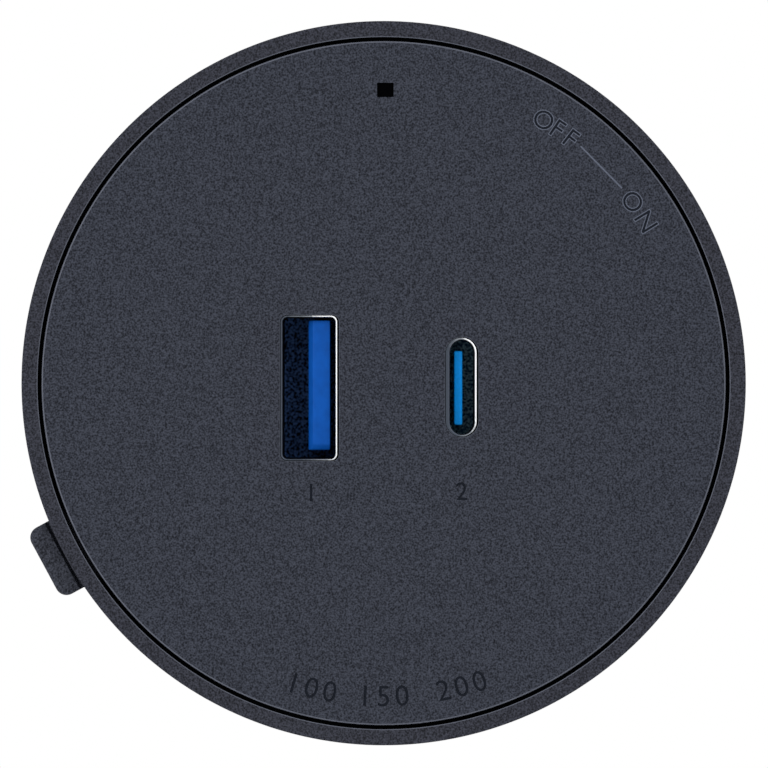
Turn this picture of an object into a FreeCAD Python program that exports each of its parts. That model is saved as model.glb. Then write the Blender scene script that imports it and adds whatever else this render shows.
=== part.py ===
"""Power track USB adapter: a round body that is pushed foot first into a track slot and turned.

Each piece is drawn face up, with the face along its own Z axis, and then laid against the wall.
The levels along Z start at the rear seating plane, which rests on the track.
"""

import FreeCAD, Part
import os
import re
import Sketcher
from FreeCAD import Placement, Rotation, Vector
from math import cos, pi, sin

sizes = {
    # Whole adapter.
    "body_radius": 31.5,
    "face_level": 36.0,
    "screw_clearance": 0.05,
    "flat_clearance": 0.15,
    # Housing: a tube with a thin front ring and a ledge for the cover.
    "ring_width": 1.38,
    "ring_chamfer": 0.22,
    "wall": 1.9,
    "rear_chamfer": 1.0,
    "rim_level": 0.3,
    "ledge_width": 1.72,
    "ledge_thickness": 1.6,
    "boss_setback": 3.2,
    "boss_angle": 30.0,
    "boss_count": 3,
    "boss_half_width": 2.7,
    "boss_height": 14.0,
    # Front cover.
    "groove_width": 0.33,
    "cover_thickness": 2.0,
    "cover_chamfer": 0.15,
    "hook_clearance": 0.4,
    "hook_count": 4,
    "hook_width": 5.0,
    "hook_arm": 1.0,
    "hook_reach": 0.8,
    "hook_length": 1.3,
    "hook_lead": 0.5,
    # Square posts under the boards, whose pegs are staked over behind them.
    "cover_post_setback": 6.6,
    "cover_post_angle": 45.0,
    "post_width": 4.6,
    "peg_width": 1.6,
    "stake_width": 2.6,
    "stake_height": 0.8,
    # Ports.
    "port_recess": 0.15,
    "port_height": 14.0,
    "port_clearance": 0.04,
    "wide_port_x": -6.45,
    "wide_port_y": -0.42,
    "wide_port_width": 5.15,
    "wide_port_height": 12.7,
    "wide_port_corner": 0.6,
    "wide_shell_wall": 0.25,
    "wide_tongue_x": -5.6,
    "wide_tongue_y": -0.18,
    "wide_tongue_width": 1.9,
    "wide_tongue_height": 11.1,
    "wide_tongue_recess": 1.1,
    "wide_block": 3.5,
    "wide_contact_width": 1.0,
    "wide_contact_depth": 0.25,
    "wide_contact_inner": 1.0,
    "wide_contact_outer": 3.5,
    "wide_contact_setback": 0.4,
    "narrow_port_x": 6.8,
    "narrow_port_y": -0.35,
    "narrow_port_width": 2.92,
    "narrow_port_height": 8.72,
    "narrow_shell_wall": 0.16,
    "narrow_tongue_x": 6.5,
    "narrow_tongue_width": 0.72,
    "narrow_tongue_height": 6.6,
    "narrow_tongue_recess": 1.5,
    "narrow_block": 5.0,
    "narrow_contact_width": 0.25,
    "narrow_contact_depth": 0.08,
    "narrow_contact_pitch": 0.5,
    "narrow_contact_setback": 0.35,
    "narrow_contact_count": 12,
    # Indicator.
    "window_x": 0.15,
    "window_setback": 4.29,
    "window_width": 1.44,
    "window_height": 1.24,
    "window_recess": 0.25,
    "pipe_flange": 0.45,
    "pipe_flange_depth": 1.0,
    "led_width": 1.6,
    "led_height": 0.8,
    "led_depth": 0.65,
    # Circuit boards.
    "board_thickness": 1.6,
    "board_side_share": 0.41,
    "usb_board_clearance": 2.9,
    "mains_board_clearance": 7.6,
    "mains_board_design": 22.0,
    "mains_board_cut": 12.2,
    "board_gap": 11.65,
    "mains_post_circle": 20.4,
    "mains_post_angle": 61.5,
    # Pin header between the boards.
    "link_gap": 0.5,
    "link_pitch": 2.54,
    "link_pin": 0.64,
    "link_tail": 1.4,
    "link_base_depth": 2.5,
    # Transformer.
    "core_x": 11.5,
    "core_width": 14.0,
    "core_height": 10.4,
    "core_depth": 5.2,
    "core_leg": 2.2,
    "core_middle_leg": 4.2,
    "core_yoke": 2.0,
    "core_lift": 0.3,
    "bobbin_depth": 16.0,
    "bobbin_flange": 0.7,
    "bobbin_clearance": 0.1,
    "bobbin_foot": 1.8,
    "winding_depth": 14.4,
    "winding_setback": 0.25,
    "winding_corner": 1.5,
    # Other parts on the mains board.
    "bulk_radius": 4.0,
    "bulk_height": 11.0,
    "bulk_first_x": -6.0,
    "bulk_first_y": 13.0,
    "bulk_second_x": 2.6,
    "bulk_second_y": 14.6,
    "output_radius": 3.15,
    "output_height": 8.0,
    "output_x": 12.5,
    "output_y": 13.0,
    "choke_width": 6.6,
    "choke_height": 8.0,
    "choke_flange": 1.4,
    "choke_x": -6.0,
    "choke_y": -12.8,
    "fuse_x": -8.2,
    "fuse_y": -3.6,
    "fuse_width": 4.0,
    "fuse_depth": 8.0,
    "fuse_height": 8.0,
    "disc_lift": 1.0,
    "lead_width": 0.6,
    "varistor_x": 3.2,
    "varistor_y": -13.6,
    "varistor_radius": 3.5,
    "varistor_depth": 3.4,
    "safety_cap_x": 11.2,
    "safety_cap_y": -13.0,
    "safety_cap_radius": 3.0,
    "safety_cap_depth": 2.8,
    "rectifier_x": -7.6,
    "rectifier_y": 5.2,
    "rectifier_width": 6.0,
    "rectifier_depth": 4.6,
    "rectifier_height": 2.2,
    "chip_y": -14.0,
    "chip_width": 4.0,
    "chip_height": 0.9,
    # Rear base.
    "floor_thickness": 2.0,
    "floor_clearance": 0.25,
    "rear_screw_radius": 1.2,
    "rear_head_radius": 2.3,
    "rear_head_height": 1.1,
    "rear_screw_length": 10.0,
    "rear_head_recess": 1.2,
    "cross_length": 2.4,
    "cross_width": 0.6,
    "cross_depth": 0.7,
    # Track foot: a round neck for the slot and a hammer head behind its lips.
    "neck_radius": 4.6,
    "head_radius": 4.7,
    "neck_length": 4.3,
    "head_half_length": 12.0,
    "head_depth": 4.0,
    "cap_depth": 4.2,
    "cap_chamfer": 0.8,
    "flange_depth": 1.8,
    "flange_half_width": 6.0,
    "flange_setback": 0.6,
    "flange_peg_circle": 9.0,
    "flange_turn": -35.0,
    "cap_screw_radius": 1.15,
    "cap_head_radius": 2.1,
    "cap_head_recess": 1.4,
    "cap_screw_length": 11.0,
    # Contacts.
    "strip_thickness": 0.8,
    "strip_width": 3.2,
    "strip_offset": 3.0,
    "strip_clearance": 0.03,
    "blade_reach": 2.5,
    "blade_corner": 0.8,
    "earth_reach": 0.5,
    "tail_height": 1.0,
    # Release button, drawn with its travel along its own X axis.
    "button_angle": 208.3,
    "button_travel": 1.8,
    "button_width": 6.57,
    "button_stand_out": 2.19,
    "button_corner": 1.0,
    "button_chamfer": 0.2,
    "button_rear_level": 18.0,
    "retainer_half_width": 5.0,
    "retainer_extra": 1.5,
    "leg_clearance": 0.35,
    "leg_thickness": 1.65,
    "slider_clearance": 0.3,
    "slider_thickness": 2.2,
    "slider_setback": 11.6,
    "slider_tab": 1.4,
    "slider_tab_level": 6.7,
    # Latch bolt, lifted by the wedge of the button.
    "bolt_setback": 11.1,
    "bolt_angle": 180.0,
    "bolt_radius": 2.2,
    "bolt_reach": 2.2,
    "bolt_tip": 0.5,
    "bolt_hole_clearance": 0.1,
    "bolt_block_half_width": 2.7,
    "bolt_block_inner": 2.45,
    "bolt_block_top": 8.0,
    "ramp_start": 4.0,
    "ramp_run": 2.9,
    "ramp_slope": 1.4,
    "ramp_gap": 0.25,
    "wedge_height": 4.2,
    "wedge_back": 9.2,
    "arm_inner": 6.0,
    # Bracket over the bolt.
    "guide_clearance": 0.25,
    "guide_wall": 1.2,
    "guide_outer": 2.9,
    "guide_roof_level": 14.2,
    "guide_roof": 1.4,
    "guide_ear_width": 4.6,
    "guide_ear_depth": 2.0,
    "guide_ear_setback": 1.7,
    # Springs and what they sit on.
    "spigot_radius": 0.9,
    "spigot_length": 1.4,
    "spring_radius": 1.9,
    "spring_wire": 0.5,
    "button_spring_level": 4.6,
    "spring_post_setback": 2.6,
    "spring_post_thickness": 1.4,
    "spring_post_half_width": 2.4,
    "rail_clearance": 0.2,
    "rail_thickness": 1.1,
    "rail_height": 3.0,
    "rail_setback": 1.5,
    "rail_outer_setback": 3.2,
}

document = FreeCAD.newDocument("TrackAdapter")
sheet = document.addObject("Spreadsheet::Sheet", "Sizes")
for row, (name, number) in enumerate(sizes.items(), start=1):
    sheet.set(f"A{row}", name)
    sheet.set(f"B{row}", str(number))
    sheet.setAlias(f"B{row}", name)
document.recompute()

nodes = []
cuts = []
functions = ("cos", "sin", "sqrt")

# Radii and levels that several pieces share, as formulas of the sheet.
ring_inner = "(body_radius - ring_width)"
cover_radius = f"({ring_inner} - groove_width)"
ledge_radius = f"({ring_inner} - ledge_width)"
wall_inner = "(body_radius - wall)"
ledge_top = "(face_level - cover_thickness)"
ledge_bottom = f"({ledge_top} - ledge_thickness)"
port_mouth = "(face_level - port_recess)"
usb_board_top = f"({port_mouth} - port_height)"
usb_board_back = f"({usb_board_top} - board_thickness)"
mains_board_top = f"({usb_board_back} - board_gap)"
mains_board_back = f"({mains_board_top} - board_thickness)"
head_top = "(0 - neck_length)"
head_split = f"({head_top} - head_depth)"
foot_tip = f"({head_split} - cap_depth)"
slider_level = "(floor_thickness + slider_clearance)"
slider_top = f"({slider_level} + slider_thickness)"
bolt_circle = f"({wall_inner} - bolt_setback)"
bolt_x = f"({bolt_circle} * cos(bolt_angle - button_angle))"
bolt_y = f"({bolt_circle} * sin(bolt_angle - button_angle))"
bolt_level = "(floor_thickness + flat_clearance)"
spring_post_x = "(flange_half_width + spring_post_setback)"
spring_post_face = f"({spring_post_x} + spring_post_thickness)"
leg_outer = f"({wall_inner} - leg_clearance)"
leg_inner = f"({leg_outer} - leg_thickness)"
slider_inner_x = f"({wall_inner} - slider_setback)"
boss_circle = f"({wall_inner} - boss_setback)"
usb_board_half = f"({wall_inner} - usb_board_clearance)"
usb_board_cut = f"({leg_inner} - button_travel - flat_clearance)"
cover_post_circle = f"({wall_inner} - cover_post_setback)"
mains_board_half = f"({wall_inner} - mains_board_clearance)"
board_growth = f"({mains_board_half} / mains_board_design)"
core_right = f"((core_x + core_width / 2) * {board_growth})"
link_x = f"({core_right} + link_gap + link_base_depth / 2)"
flange_half_length = "(head_half_length - flange_setback)"
window_y = f"({cover_radius} - window_setback)"
guide_half_width = "(bolt_block_half_width + guide_clearance + guide_wall)"
guide_ear_x = f"({bolt_x} - guide_ear_setback)"
guide_ear_y = f"({bolt_y} - {guide_half_width} - guide_ear_width / 2)"


def grown(word):
    """A place or width on the mains board, which keeps its share of the board."""
    return f"({word} * {board_growth})"


def bound(formula):
    """The formula with each of its words read from the sheet."""
    words = re.compile("[a-z_]+")
    return words.sub(lambda w: w[0] if w[0] in functions else f"Sizes.{w[0]}", formula)


def value(formula):
    """What a formula of the sheet comes to."""
    return float(sheet.evalExpression(bound(formula)))


def face_frame():
    """The adapter hangs on a wall, so its face looks along -Y."""
    return Placement(Vector(0, 0, 0), Rotation(Vector(1, 0, 0), 90))


def button_frame():
    """As the face frame, with X turned towards the release button."""
    return face_frame() * Placement(Vector(0, 0, 0), Rotation(Vector(0, 0, 1), value("button_angle")))


def new_body(label, frame=None):
    body = document.addObject("PartDesign::Body", label)
    body.Label = label
    body.AllowCompound = True
    body.Placement = frame or face_frame()
    return body


def new_node(label, frame=None):
    body = new_body(label, frame)
    nodes.append(body)
    return body


def origin_item(body, role):
    return next(item for item in body.Origin.OriginFeatures if item.Role == role)


def sketch_in(body, name, level="0", plane="XY_Plane", turn="0"):
    """A sketch on one of the body's origin planes, raised to a level and turned in its plane."""
    sketch = body.newObject("Sketcher::SketchObject", f"{body.Name}_{name}")
    sketch.AttachmentSupport = [(origin_item(body, plane), "")]
    sketch.MapMode = "FlatFace"
    turned = Rotation(Vector(0, 0, 1), value(turn))
    sketch.AttachmentOffset = Placement(Vector(0, 0, value(level)), turned)
    sketch.setExpression("AttachmentOffset.Base.z", bound(level))
    if turn != "0":
        sketch.setExpression("AttachmentOffset.Rotation.Angle", bound(turn))
    return sketch


def point_ties(geometry, position, x, y):
    """What holds a point of a sketch at two formulas: each tie and the formula that it follows."""
    ties = []
    for kind, axis, formula in (("DistanceX", -2, x), ("DistanceY", -1, y)):
        if formula == "0":
            ties.append((Sketcher.Constraint("PointOnObject", geometry, position, axis), None))
            continue
        tie = Sketcher.Constraint(kind, -1, 1, geometry, position, value(formula))
        ties.append((tie, formula))
    return ties


def radius_tie(geometry, radius):
    return Sketcher.Constraint("Radius", geometry, value(radius)), radius


def joined(kind, first, first_end, second, second_end):
    return Sketcher.Constraint(kind, first, first_end, second, second_end), None


def hold(sketch, ties):
    """Adds all the ties at once and binds those that follow a formula."""
    indices = sketch.addConstraint([tie for tie, _ in ties])
    for index, (_, formula) in zip(indices, ties):
        if formula is not None:
            sketch.setExpression(f"Constraints[{index}]", bound(formula))


def add_circle(sketch, x, y, radius):
    centre = Vector(value(x), value(y), 0)
    circle = sketch.addGeometry(Part.Circle(centre, Vector(0, 0, 1), value(radius)))
    hold(sketch, point_ties(circle, 3, x, y) + [radius_tie(circle, radius)])


def add_outline(sketch, points):
    """A closed outline of straight lines, whose corners are pairs of formulas."""
    corners = [Vector(value(x), value(y), 0) for x, y in points]
    lines = []
    for start, end in zip(corners, corners[1:] + corners[:1]):
        lines.append(sketch.addGeometry(Part.LineSegment(start, end)))
    ties = []
    for line, following in zip(lines, lines[1:] + lines[:1]):
        ties.append(joined("Coincident", line, 2, following, 1))
    for line, (x, y) in zip(lines, points):
        ties += point_ties(line, 1, x, y)
    hold(sketch, ties)


def add_box(sketch, left, right, bottom, top):
    add_outline(sketch, [(left, bottom), (right, bottom), (right, top), (left, top)])


def centred_box(sketch, x, y, width, height):
    add_box(
        sketch,
        f"{x} - ({width}) / 2",
        f"{x} + ({width}) / 2",
        f"{y} - ({height}) / 2",
        f"{y} + ({height}) / 2",
    )


def add_rounded(sketch, left, right, bottom, top, corner, rounded=(True, True, True, True)):
    """A box whose corners are arcs, counted from the lower left and anticlockwise."""
    centres = [
        (f"{left} + {corner}", f"{bottom} + {corner}"),
        (f"{right} - {corner}", f"{bottom} + {corner}"),
        (f"{right} - {corner}", f"{top} - {corner}"),
        (f"{left} + {corner}", f"{top} - {corner}"),
    ]
    sharp = [(left, bottom), (right, bottom), (right, top), (left, top)]
    radius = value(corner)
    ends = []
    for index, (centre, point) in enumerate(zip(centres, sharp)):
        if not rounded[index]:
            spot = Vector(value(point[0]), value(point[1]), 0)
            ends.append((None, spot, spot))
            continue
        first = pi + index * pi / 2
        middle = Vector(value(centre[0]), value(centre[1]), 0)
        circle = Part.Circle(middle, Vector(0, 0, 1), radius)
        arc = sketch.addGeometry(Part.ArcOfCircle(circle, first, first + pi / 2))
        start = middle + Vector(cos(first), sin(first), 0) * radius
        end = middle + Vector(cos(first + pi / 2), sin(first + pi / 2), 0) * radius
        ends.append((arc, start, end))
    lines = []
    for index, (_, _, end) in enumerate(ends):
        start_of_next = ends[(index + 1) % len(ends)][1]
        lines.append(sketch.addGeometry(Part.LineSegment(end, start_of_next)))
    ties = []
    for index, (arc, _, _) in enumerate(ends):
        before, after = lines[index - 1], lines[index]
        if arc is None:
            ties.append(joined("Coincident", before, 2, after, 1))
            ties += point_ties(after, 1, *sharp[index])
            continue
        ties.append(joined("Tangent", before, 2, arc, 1))
        ties.append(joined("Tangent", arc, 2, after, 1))
        ties += point_ties(arc, 3, *centres[index])
        ties.append(radius_tie(arc, corner))
    hold(sketch, ties)


def centred_rounded(sketch, x, y, width, height, corner):
    add_rounded(
        sketch,
        f"{x} - ({width}) / 2",
        f"{x} + ({width}) / 2",
        f"{y} - ({height}) / 2",
        f"{y} + ({height}) / 2",
        corner,
    )


def add_obround(sketch, x, y, half_length, radius):
    """A slot along the sketch's own Y axis with half-round ends."""
    reach = f"({half_length} - ({radius}))"
    middle_x, middle_y, size, rise = value(x), value(y), value(radius), value(reach)
    upper = Part.Circle(Vector(middle_x, middle_y + rise, 0), Vector(0, 0, 1), size)
    lower = Part.Circle(Vector(middle_x, middle_y - rise, 0), Vector(0, 0, 1), size)
    top = sketch.addGeometry(Part.ArcOfCircle(upper, 0, pi))
    bottom = sketch.addGeometry(Part.ArcOfCircle(lower, pi, 2 * pi))
    left = Part.LineSegment(
        Vector(middle_x - size, middle_y + rise, 0), Vector(middle_x - size, middle_y - rise, 0)
    )
    right = Part.LineSegment(
        Vector(middle_x + size, middle_y - rise, 0), Vector(middle_x + size, middle_y + rise, 0)
    )
    left_line = sketch.addGeometry(left)
    right_line = sketch.addGeometry(right)
    ties = [
        joined("Tangent", top, 2, left_line, 1),
        joined("Tangent", left_line, 2, bottom, 1),
        joined("Tangent", bottom, 2, right_line, 1),
        joined("Tangent", right_line, 2, top, 1),
        radius_tie(top, radius),
    ]
    ties += point_ties(top, 3, x, f"{y} + {reach}")
    ties += point_ties(bottom, 3, x, f"{y} - {reach}")
    hold(sketch, ties)


def pad(body, sketch, length, down=False, both=False):
    feature = body.newObject("PartDesign::Pad", f"{sketch.Name}_pad")
    feature.Profile = sketch
    feature.setExpression("Length", bound(length))
    feature.Reversed = down
    feature.Midplane = both
    sketch.Visibility = False
    return feature


def pocket(body, sketch, length, up=False, both=False):
    """Cuts downwards from the sketch, or upwards, or to both sides of it."""
    feature = body.newObject("PartDesign::Pocket", f"{sketch.Name}_pocket")
    feature.Profile = sketch
    feature.setExpression("Length", bound(length))
    feature.Reversed = up
    feature.Midplane = both
    cuts.append(feature)
    return feature


def revolve(body, sketch):
    feature = body.newObject("PartDesign::Revolution", f"{sketch.Name}_turned")
    feature.Profile = sketch
    feature.ReferenceAxis = (sketch, ["V_Axis"])
    feature.Angle = 360
    return feature


def repeat_round(body, features, count):
    """Copies features round the body's own Z axis."""
    document.recompute()
    pattern = body.newObject("PartDesign::PolarPattern", f"{features[0].Name}_round")
    pattern.Originals = features
    pattern.Axis = (origin_item(body, "Z_Axis"), [""])
    pattern.Angle = 360
    pattern.setExpression("Occurrences", bound(count))
    body.Tip = pattern
    return pattern


def repeat_in_line(body, features, axis, length, count):
    """Copies features along one of the body's own axes."""
    document.recompute()
    pattern = body.newObject("PartDesign::LinearPattern", f"{features[0].Name}_row")
    pattern.Originals = features
    pattern.Direction = (origin_item(body, axis), [""])
    pattern.setExpression("Length", bound(length))
    pattern.setExpression("Occurrences", bound(count))
    body.Tip = pattern
    return pattern


def round_edges(body, kind, size, wanted):
    """A fillet or chamfer of every edge of the body that the test wants."""
    document.recompute()
    base = body.Tip
    names = []
    for index, edge in enumerate(base.Shape.Edges, start=1):
        if wanted(edge):
            names.append(f"Edge{index}")
    if not names:
        raise RuntimeError(f"{body.Label} has no edge to finish")
    feature = body.newObject(f"PartDesign::{kind}", f"{base.Name}_{kind}")
    feature.Base = (base, names)
    feature.setExpression("Radius" if kind == "Fillet" else "Size", bound(size))
    return feature


def level_of(edge):
    """The level of an edge that lies flat, or None."""
    box = edge.BoundBox
    return box.ZMin if box.ZLength < 1e-4 else None


def is_ring(edge, radius, level):
    """Whether an edge is the full circle of this radius about Z at this level."""
    if level_of(edge) is None or abs(level_of(edge) - value(level)) > 1e-4:
        return False
    box = edge.BoundBox
    return abs(box.XMax - value(radius)) < 1e-4 and abs(box.XMin + value(radius)) < 1e-4


def ring_points(circle, first_angle, count):
    """Points spread evenly round a circle, as pairs of formulas."""
    step = 360 / count
    points = []
    for index in range(count):
        angle = f"({first_angle} + {index * step})"
        points.append((f"{circle} * cos({angle})", f"{circle} * sin({angle})"))
    return points


def mirrored_points(circle, angle):
    """Four points at one angle above and below the X axis, on both sides."""
    x, y = f"{circle} * cos({angle})", f"{circle} * sin({angle})"
    return [(x, y), (f"0 - {x}", y), (f"0 - {x}", f"0 - {y}"), (x, f"0 - {y}")]


def add_circles(sketch, points, radius):
    for x, y in points:
        add_circle(sketch, x, y, radius)


def add_cross(sketch, x, y):
    """The plus-shaped recess of a screw head."""
    long_arm, short_arm = "cross_length / 2", "cross_width / 2"
    points = []
    for side_x, side_y in (("+", "+"), ("-", "+"), ("-", "-"), ("+", "-")):
        corner = [(long_arm, short_arm), (short_arm, short_arm), (short_arm, long_arm)]
        if side_x != side_y:
            corner.reverse()
        for across, along in corner:
            points.append((f"{x} {side_x} {across}", f"{y} {side_y} {along}"))
    add_outline(sketch, points)


def screws(label, points, seat, head, radius, head_radius, length):
    """Equal screws, each a separate solid, put in from the rear with their heads on one level."""
    body = new_node(label)
    shank = sketch_in(body, "shank", seat)
    add_circles(shank, points, radius)
    pad(body, shank, length)
    top = sketch_in(body, "head", seat)
    add_circles(top, points, head_radius)
    pad(body, top, head, down=True)
    for index, (x, y) in enumerate(points):
        recess = sketch_in(body, f"recess_{index}", f"{seat} - ({head})")
        add_cross(recess, x, y)
        pocket(body, recess, "cross_depth", up=True)


def add_squares(sketch, points, width):
    for x, y in points:
        centred_box(sketch, x, y, width, width)


def staked_pegs(body, name, points, base, thickness, down=False, turn="0"):
    """Pegs that pass through a plate and are melted flat on its far side."""
    far = f"{base} - {thickness}" if down else f"{base} + {thickness}"
    pegs = sketch_in(body, f"{name}_pegs", base, turn=turn)
    add_squares(pegs, points, "peg_width")
    pad(body, pegs, thickness, down=down)
    stakes = sketch_in(body, f"{name}_stakes", far, turn=turn)
    add_squares(stakes, points, "stake_width")
    pad(body, stakes, "stake_height", down=down)


def make_housing():
    """The outer shell: a thin ring at the face, a ledge behind it and blocks for the rear screws."""
    body = new_node("housing")
    profile = sketch_in(body, "profile", plane="XZ_Plane")
    add_outline(
        profile,
        [
            (ring_inner, "face_level"),
            (ring_inner, ledge_top),
            (ledge_radius, ledge_top),
            (ledge_radius, ledge_bottom),
            (wall_inner, ledge_bottom),
            (wall_inner, "rim_level"),
            ("body_radius - rear_chamfer", "rim_level"),
            ("body_radius", "rim_level + rear_chamfer"),
            ("body_radius", "face_level - ring_chamfer"),
            ("body_radius - ring_chamfer", "face_level"),
        ],
    )
    revolve(body, profile)
    boss = sketch_in(body, "boss", bolt_level, turn="boss_angle")
    add_box(
        boss,
        f"{boss_circle} - boss_half_width",
        f"{wall_inner} + rim_level",
        "0 - boss_half_width",
        "boss_half_width",
    )
    boss_pad = pad(body, boss, "boss_height")
    pilot = sketch_in(body, "pilot", bolt_level, turn="boss_angle")
    add_circle(pilot, boss_circle, "0", "rear_screw_radius + screw_clearance")
    pilot_pocket = pocket(body, pilot, "rear_screw_length", up=True)
    repeat_round(body, [boss_pad, pilot_pocket], "boss_count")
    slot = sketch_in(body, "button_slot", "button_rear_level - flat_clearance", turn="button_angle")
    add_box(
        slot,
        f"{ledge_radius} - ledge_width",
        "body_radius + ring_width",
        "0 - button_width / 2 - flat_clearance",
        "button_width / 2 + flat_clearance",
    )
    pocket(body, slot, f"{ledge_top} - button_rear_level + flat_clearance", up=True)


def make_front_cover():
    """The round face plate, with snap hooks and the posts of the port board behind it."""
    body = new_node("front_cover")
    plate = sketch_in(body, "plate", ledge_top)
    add_circle(plate, "0", "0", cover_radius)
    pad(body, plate, "cover_thickness")
    round_edges(
        body, "Chamfer", "cover_chamfer", lambda edge: is_ring(edge, cover_radius, "face_level")
    )
    hook = sketch_in(body, "hook", plane="XZ_Plane")
    hook_outer = f"({ledge_radius} - hook_clearance)"
    hook_top = f"({ledge_bottom} - flat_clearance)"
    add_outline(
        hook,
        [
            (f"{hook_outer} - hook_arm", ledge_top),
            (f"{hook_outer} - hook_arm", f"{hook_top} - hook_length"),
            (f"{hook_outer} + hook_reach - hook_lead", f"{hook_top} - hook_length"),
            (f"{hook_outer} + hook_reach", f"{hook_top} - hook_length + hook_lead"),
            (f"{hook_outer} + hook_reach", hook_top),
            (hook_outer, hook_top),
            (hook_outer, ledge_top),
        ],
    )
    hook_pad = pad(body, hook, "hook_width", both=True)
    repeat_round(body, [hook_pad], "hook_count")
    points = mirrored_points(cover_post_circle, "cover_post_angle")
    posts = sketch_in(body, "posts", ledge_top)
    add_squares(posts, points, "post_width")
    pad(body, posts, f"{ledge_top} - {usb_board_top}", down=True)
    staked_pegs(body, "board", points, usb_board_top, "board_thickness", down=True)
    openings = sketch_in(body, "openings", "face_level")
    centred_rounded(
        openings,
        "wide_port_x",
        "wide_port_y",
        "wide_port_width",
        "wide_port_height",
        "wide_port_corner",
    )
    add_obround(
        openings, "narrow_port_x", "narrow_port_y", "narrow_port_height / 2", "narrow_port_width / 2"
    )
    centred_box(openings, "window_x", window_y, "window_width", "window_height")
    pocket(body, openings, "cover_thickness")


def make_wide_port():
    """The wide port: a folded shell, an insulator with its tongue, and four strips on it."""
    shell = new_node("usb_a_shell")
    outer_width = "(wide_port_width - 2 * port_clearance)"
    outer_height = "(wide_port_height - 2 * port_clearance)"
    wall = "wide_shell_wall"
    tube = sketch_in(shell, "tube", usb_board_top)
    centred_rounded(tube, "wide_port_x", "wide_port_y", outer_width, outer_height, "wide_port_corner")
    inner_width = f"({outer_width} - 2 * {wall})"
    inner_height = f"({outer_height} - 2 * {wall})"
    inner_corner = f"(wide_port_corner - {wall})"
    centred_rounded(tube, "wide_port_x", "wide_port_y", inner_width, inner_height, inner_corner)
    pad(shell, tube, "port_height")

    tongue = new_node("usb_a_tongue")
    base = sketch_in(tongue, "block", usb_board_top)
    centred_rounded(
        base,
        "wide_port_x",
        "wide_port_y",
        f"({inner_width} - 2 * port_clearance)",
        f"({inner_height} - 2 * port_clearance)",
        inner_corner,
    )
    pad(tongue, base, "wide_block")
    plate = sketch_in(tongue, "plate", f"{usb_board_top} + wide_block")
    centred_box(plate, "wide_tongue_x", "wide_tongue_y", "wide_tongue_width", "wide_tongue_height")
    plate_length = "(port_height - wide_block + port_recess - wide_tongue_recess)"
    pad(tongue, plate, plate_length)

    contacts = new_node("usb_a_contacts")
    strips = sketch_in(contacts, "strips", f"{usb_board_top} + wide_block")
    left = "wide_tongue_x - wide_tongue_width / 2"
    for offset in (
        "0 - wide_contact_outer",
        "0 - wide_contact_inner",
        "wide_contact_inner",
        "wide_contact_outer",
    ):
        add_box(
            strips,
            f"{left} - wide_contact_depth",
            left,
            f"wide_tongue_y + ({offset}) - wide_contact_width / 2",
            f"wide_tongue_y + ({offset}) + wide_contact_width / 2",
        )
    pad(contacts, strips, f"{plate_length} - wide_contact_setback")


def make_narrow_port():
    """The narrow port: an oval shell, an insulator with its tongue, and a row of strips each side."""
    shell = new_node("usb_c_shell")
    outer_radius = "(narrow_port_width / 2 - port_clearance)"
    outer_half = "(narrow_port_height / 2 - port_clearance)"
    inner_radius = f"({outer_radius} - narrow_shell_wall)"
    inner_half = f"({outer_half} - narrow_shell_wall)"
    tube = sketch_in(shell, "tube", usb_board_top)
    add_obround(tube, "narrow_port_x", "narrow_port_y", outer_half, outer_radius)
    add_obround(tube, "narrow_port_x", "narrow_port_y", inner_half, inner_radius)
    pad(shell, tube, "port_height")

    tongue = new_node("usb_c_tongue")
    base = sketch_in(tongue, "block", usb_board_top)
    add_obround(
        base,
        "narrow_port_x",
        "narrow_port_y",
        f"({inner_half} - port_clearance)",
        f"({inner_radius} - port_clearance)",
    )
    pad(tongue, base, "narrow_block")
    plate = sketch_in(tongue, "plate", f"{usb_board_top} + narrow_block")
    centred_box(
        plate, "narrow_tongue_x", "narrow_port_y", "narrow_tongue_width", "narrow_tongue_height"
    )
    plate_length = "(port_height - narrow_block + port_recess - narrow_tongue_recess)"
    pad(tongue, plate, plate_length)

    contacts = new_node("usb_c_contacts")
    strips = sketch_in(contacts, "strips", f"{usb_board_top} + narrow_block")
    row_length = "(narrow_contact_pitch * (narrow_contact_count - 1))"
    for side in ("+", "-"):
        centred_box(
            strips,
            f"narrow_tongue_x {side} (narrow_tongue_width + narrow_contact_depth) / 2",
            f"narrow_port_y - {row_length} / 2",
            "narrow_contact_depth",
            "narrow_contact_width",
        )
    strip = pad(contacts, strips, f"{plate_length} - narrow_contact_setback")
    repeat_in_line(contacts, [strip], "Y_Axis", row_length, "narrow_contact_count")


def make_indicator():
    """The chip on the port board and the rod that carries its light to the face."""
    led = new_node("indicator_led")
    chip = sketch_in(led, "chip", usb_board_top)
    centred_box(chip, "window_x", window_y, "led_width", "led_height")
    pad(led, chip, "led_depth")

    pipe = new_node("light_pipe")
    rod_bottom = f"({usb_board_top} + led_depth + flat_clearance)"
    rod = sketch_in(pipe, "rod", rod_bottom)
    rod_width = "(window_width - 2 * port_clearance)"
    rod_height = "(window_height - 2 * port_clearance)"
    centred_box(rod, "window_x", window_y, rod_width, rod_height)
    pad(pipe, rod, f"face_level - window_recess - {rod_bottom}")
    flange = sketch_in(pipe, "flange", ledge_top)
    centred_box(
        flange,
        "window_x",
        window_y,
        "window_width + 2 * pipe_flange",
        "window_height + 2 * pipe_flange",
    )
    pad(pipe, flange, "pipe_flange_depth", down=True)


def board_outline(half, left):
    """A square board with its corners cut off, whose left side stands this far from the middle."""
    side = f"board_side_share * {half}"
    corner_y = f"{half} + {side} - ({left})"
    return [
        (half, f"0 - {side}"),
        (half, side),
        (side, half),
        (f"0 - {side}", half),
        (f"0 - ({left})", corner_y),
        (f"0 - ({left})", f"0 - ({corner_y})"),
        (f"0 - {side}", f"0 - {half}"),
        (side, f"0 - {half}"),
    ]


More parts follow.
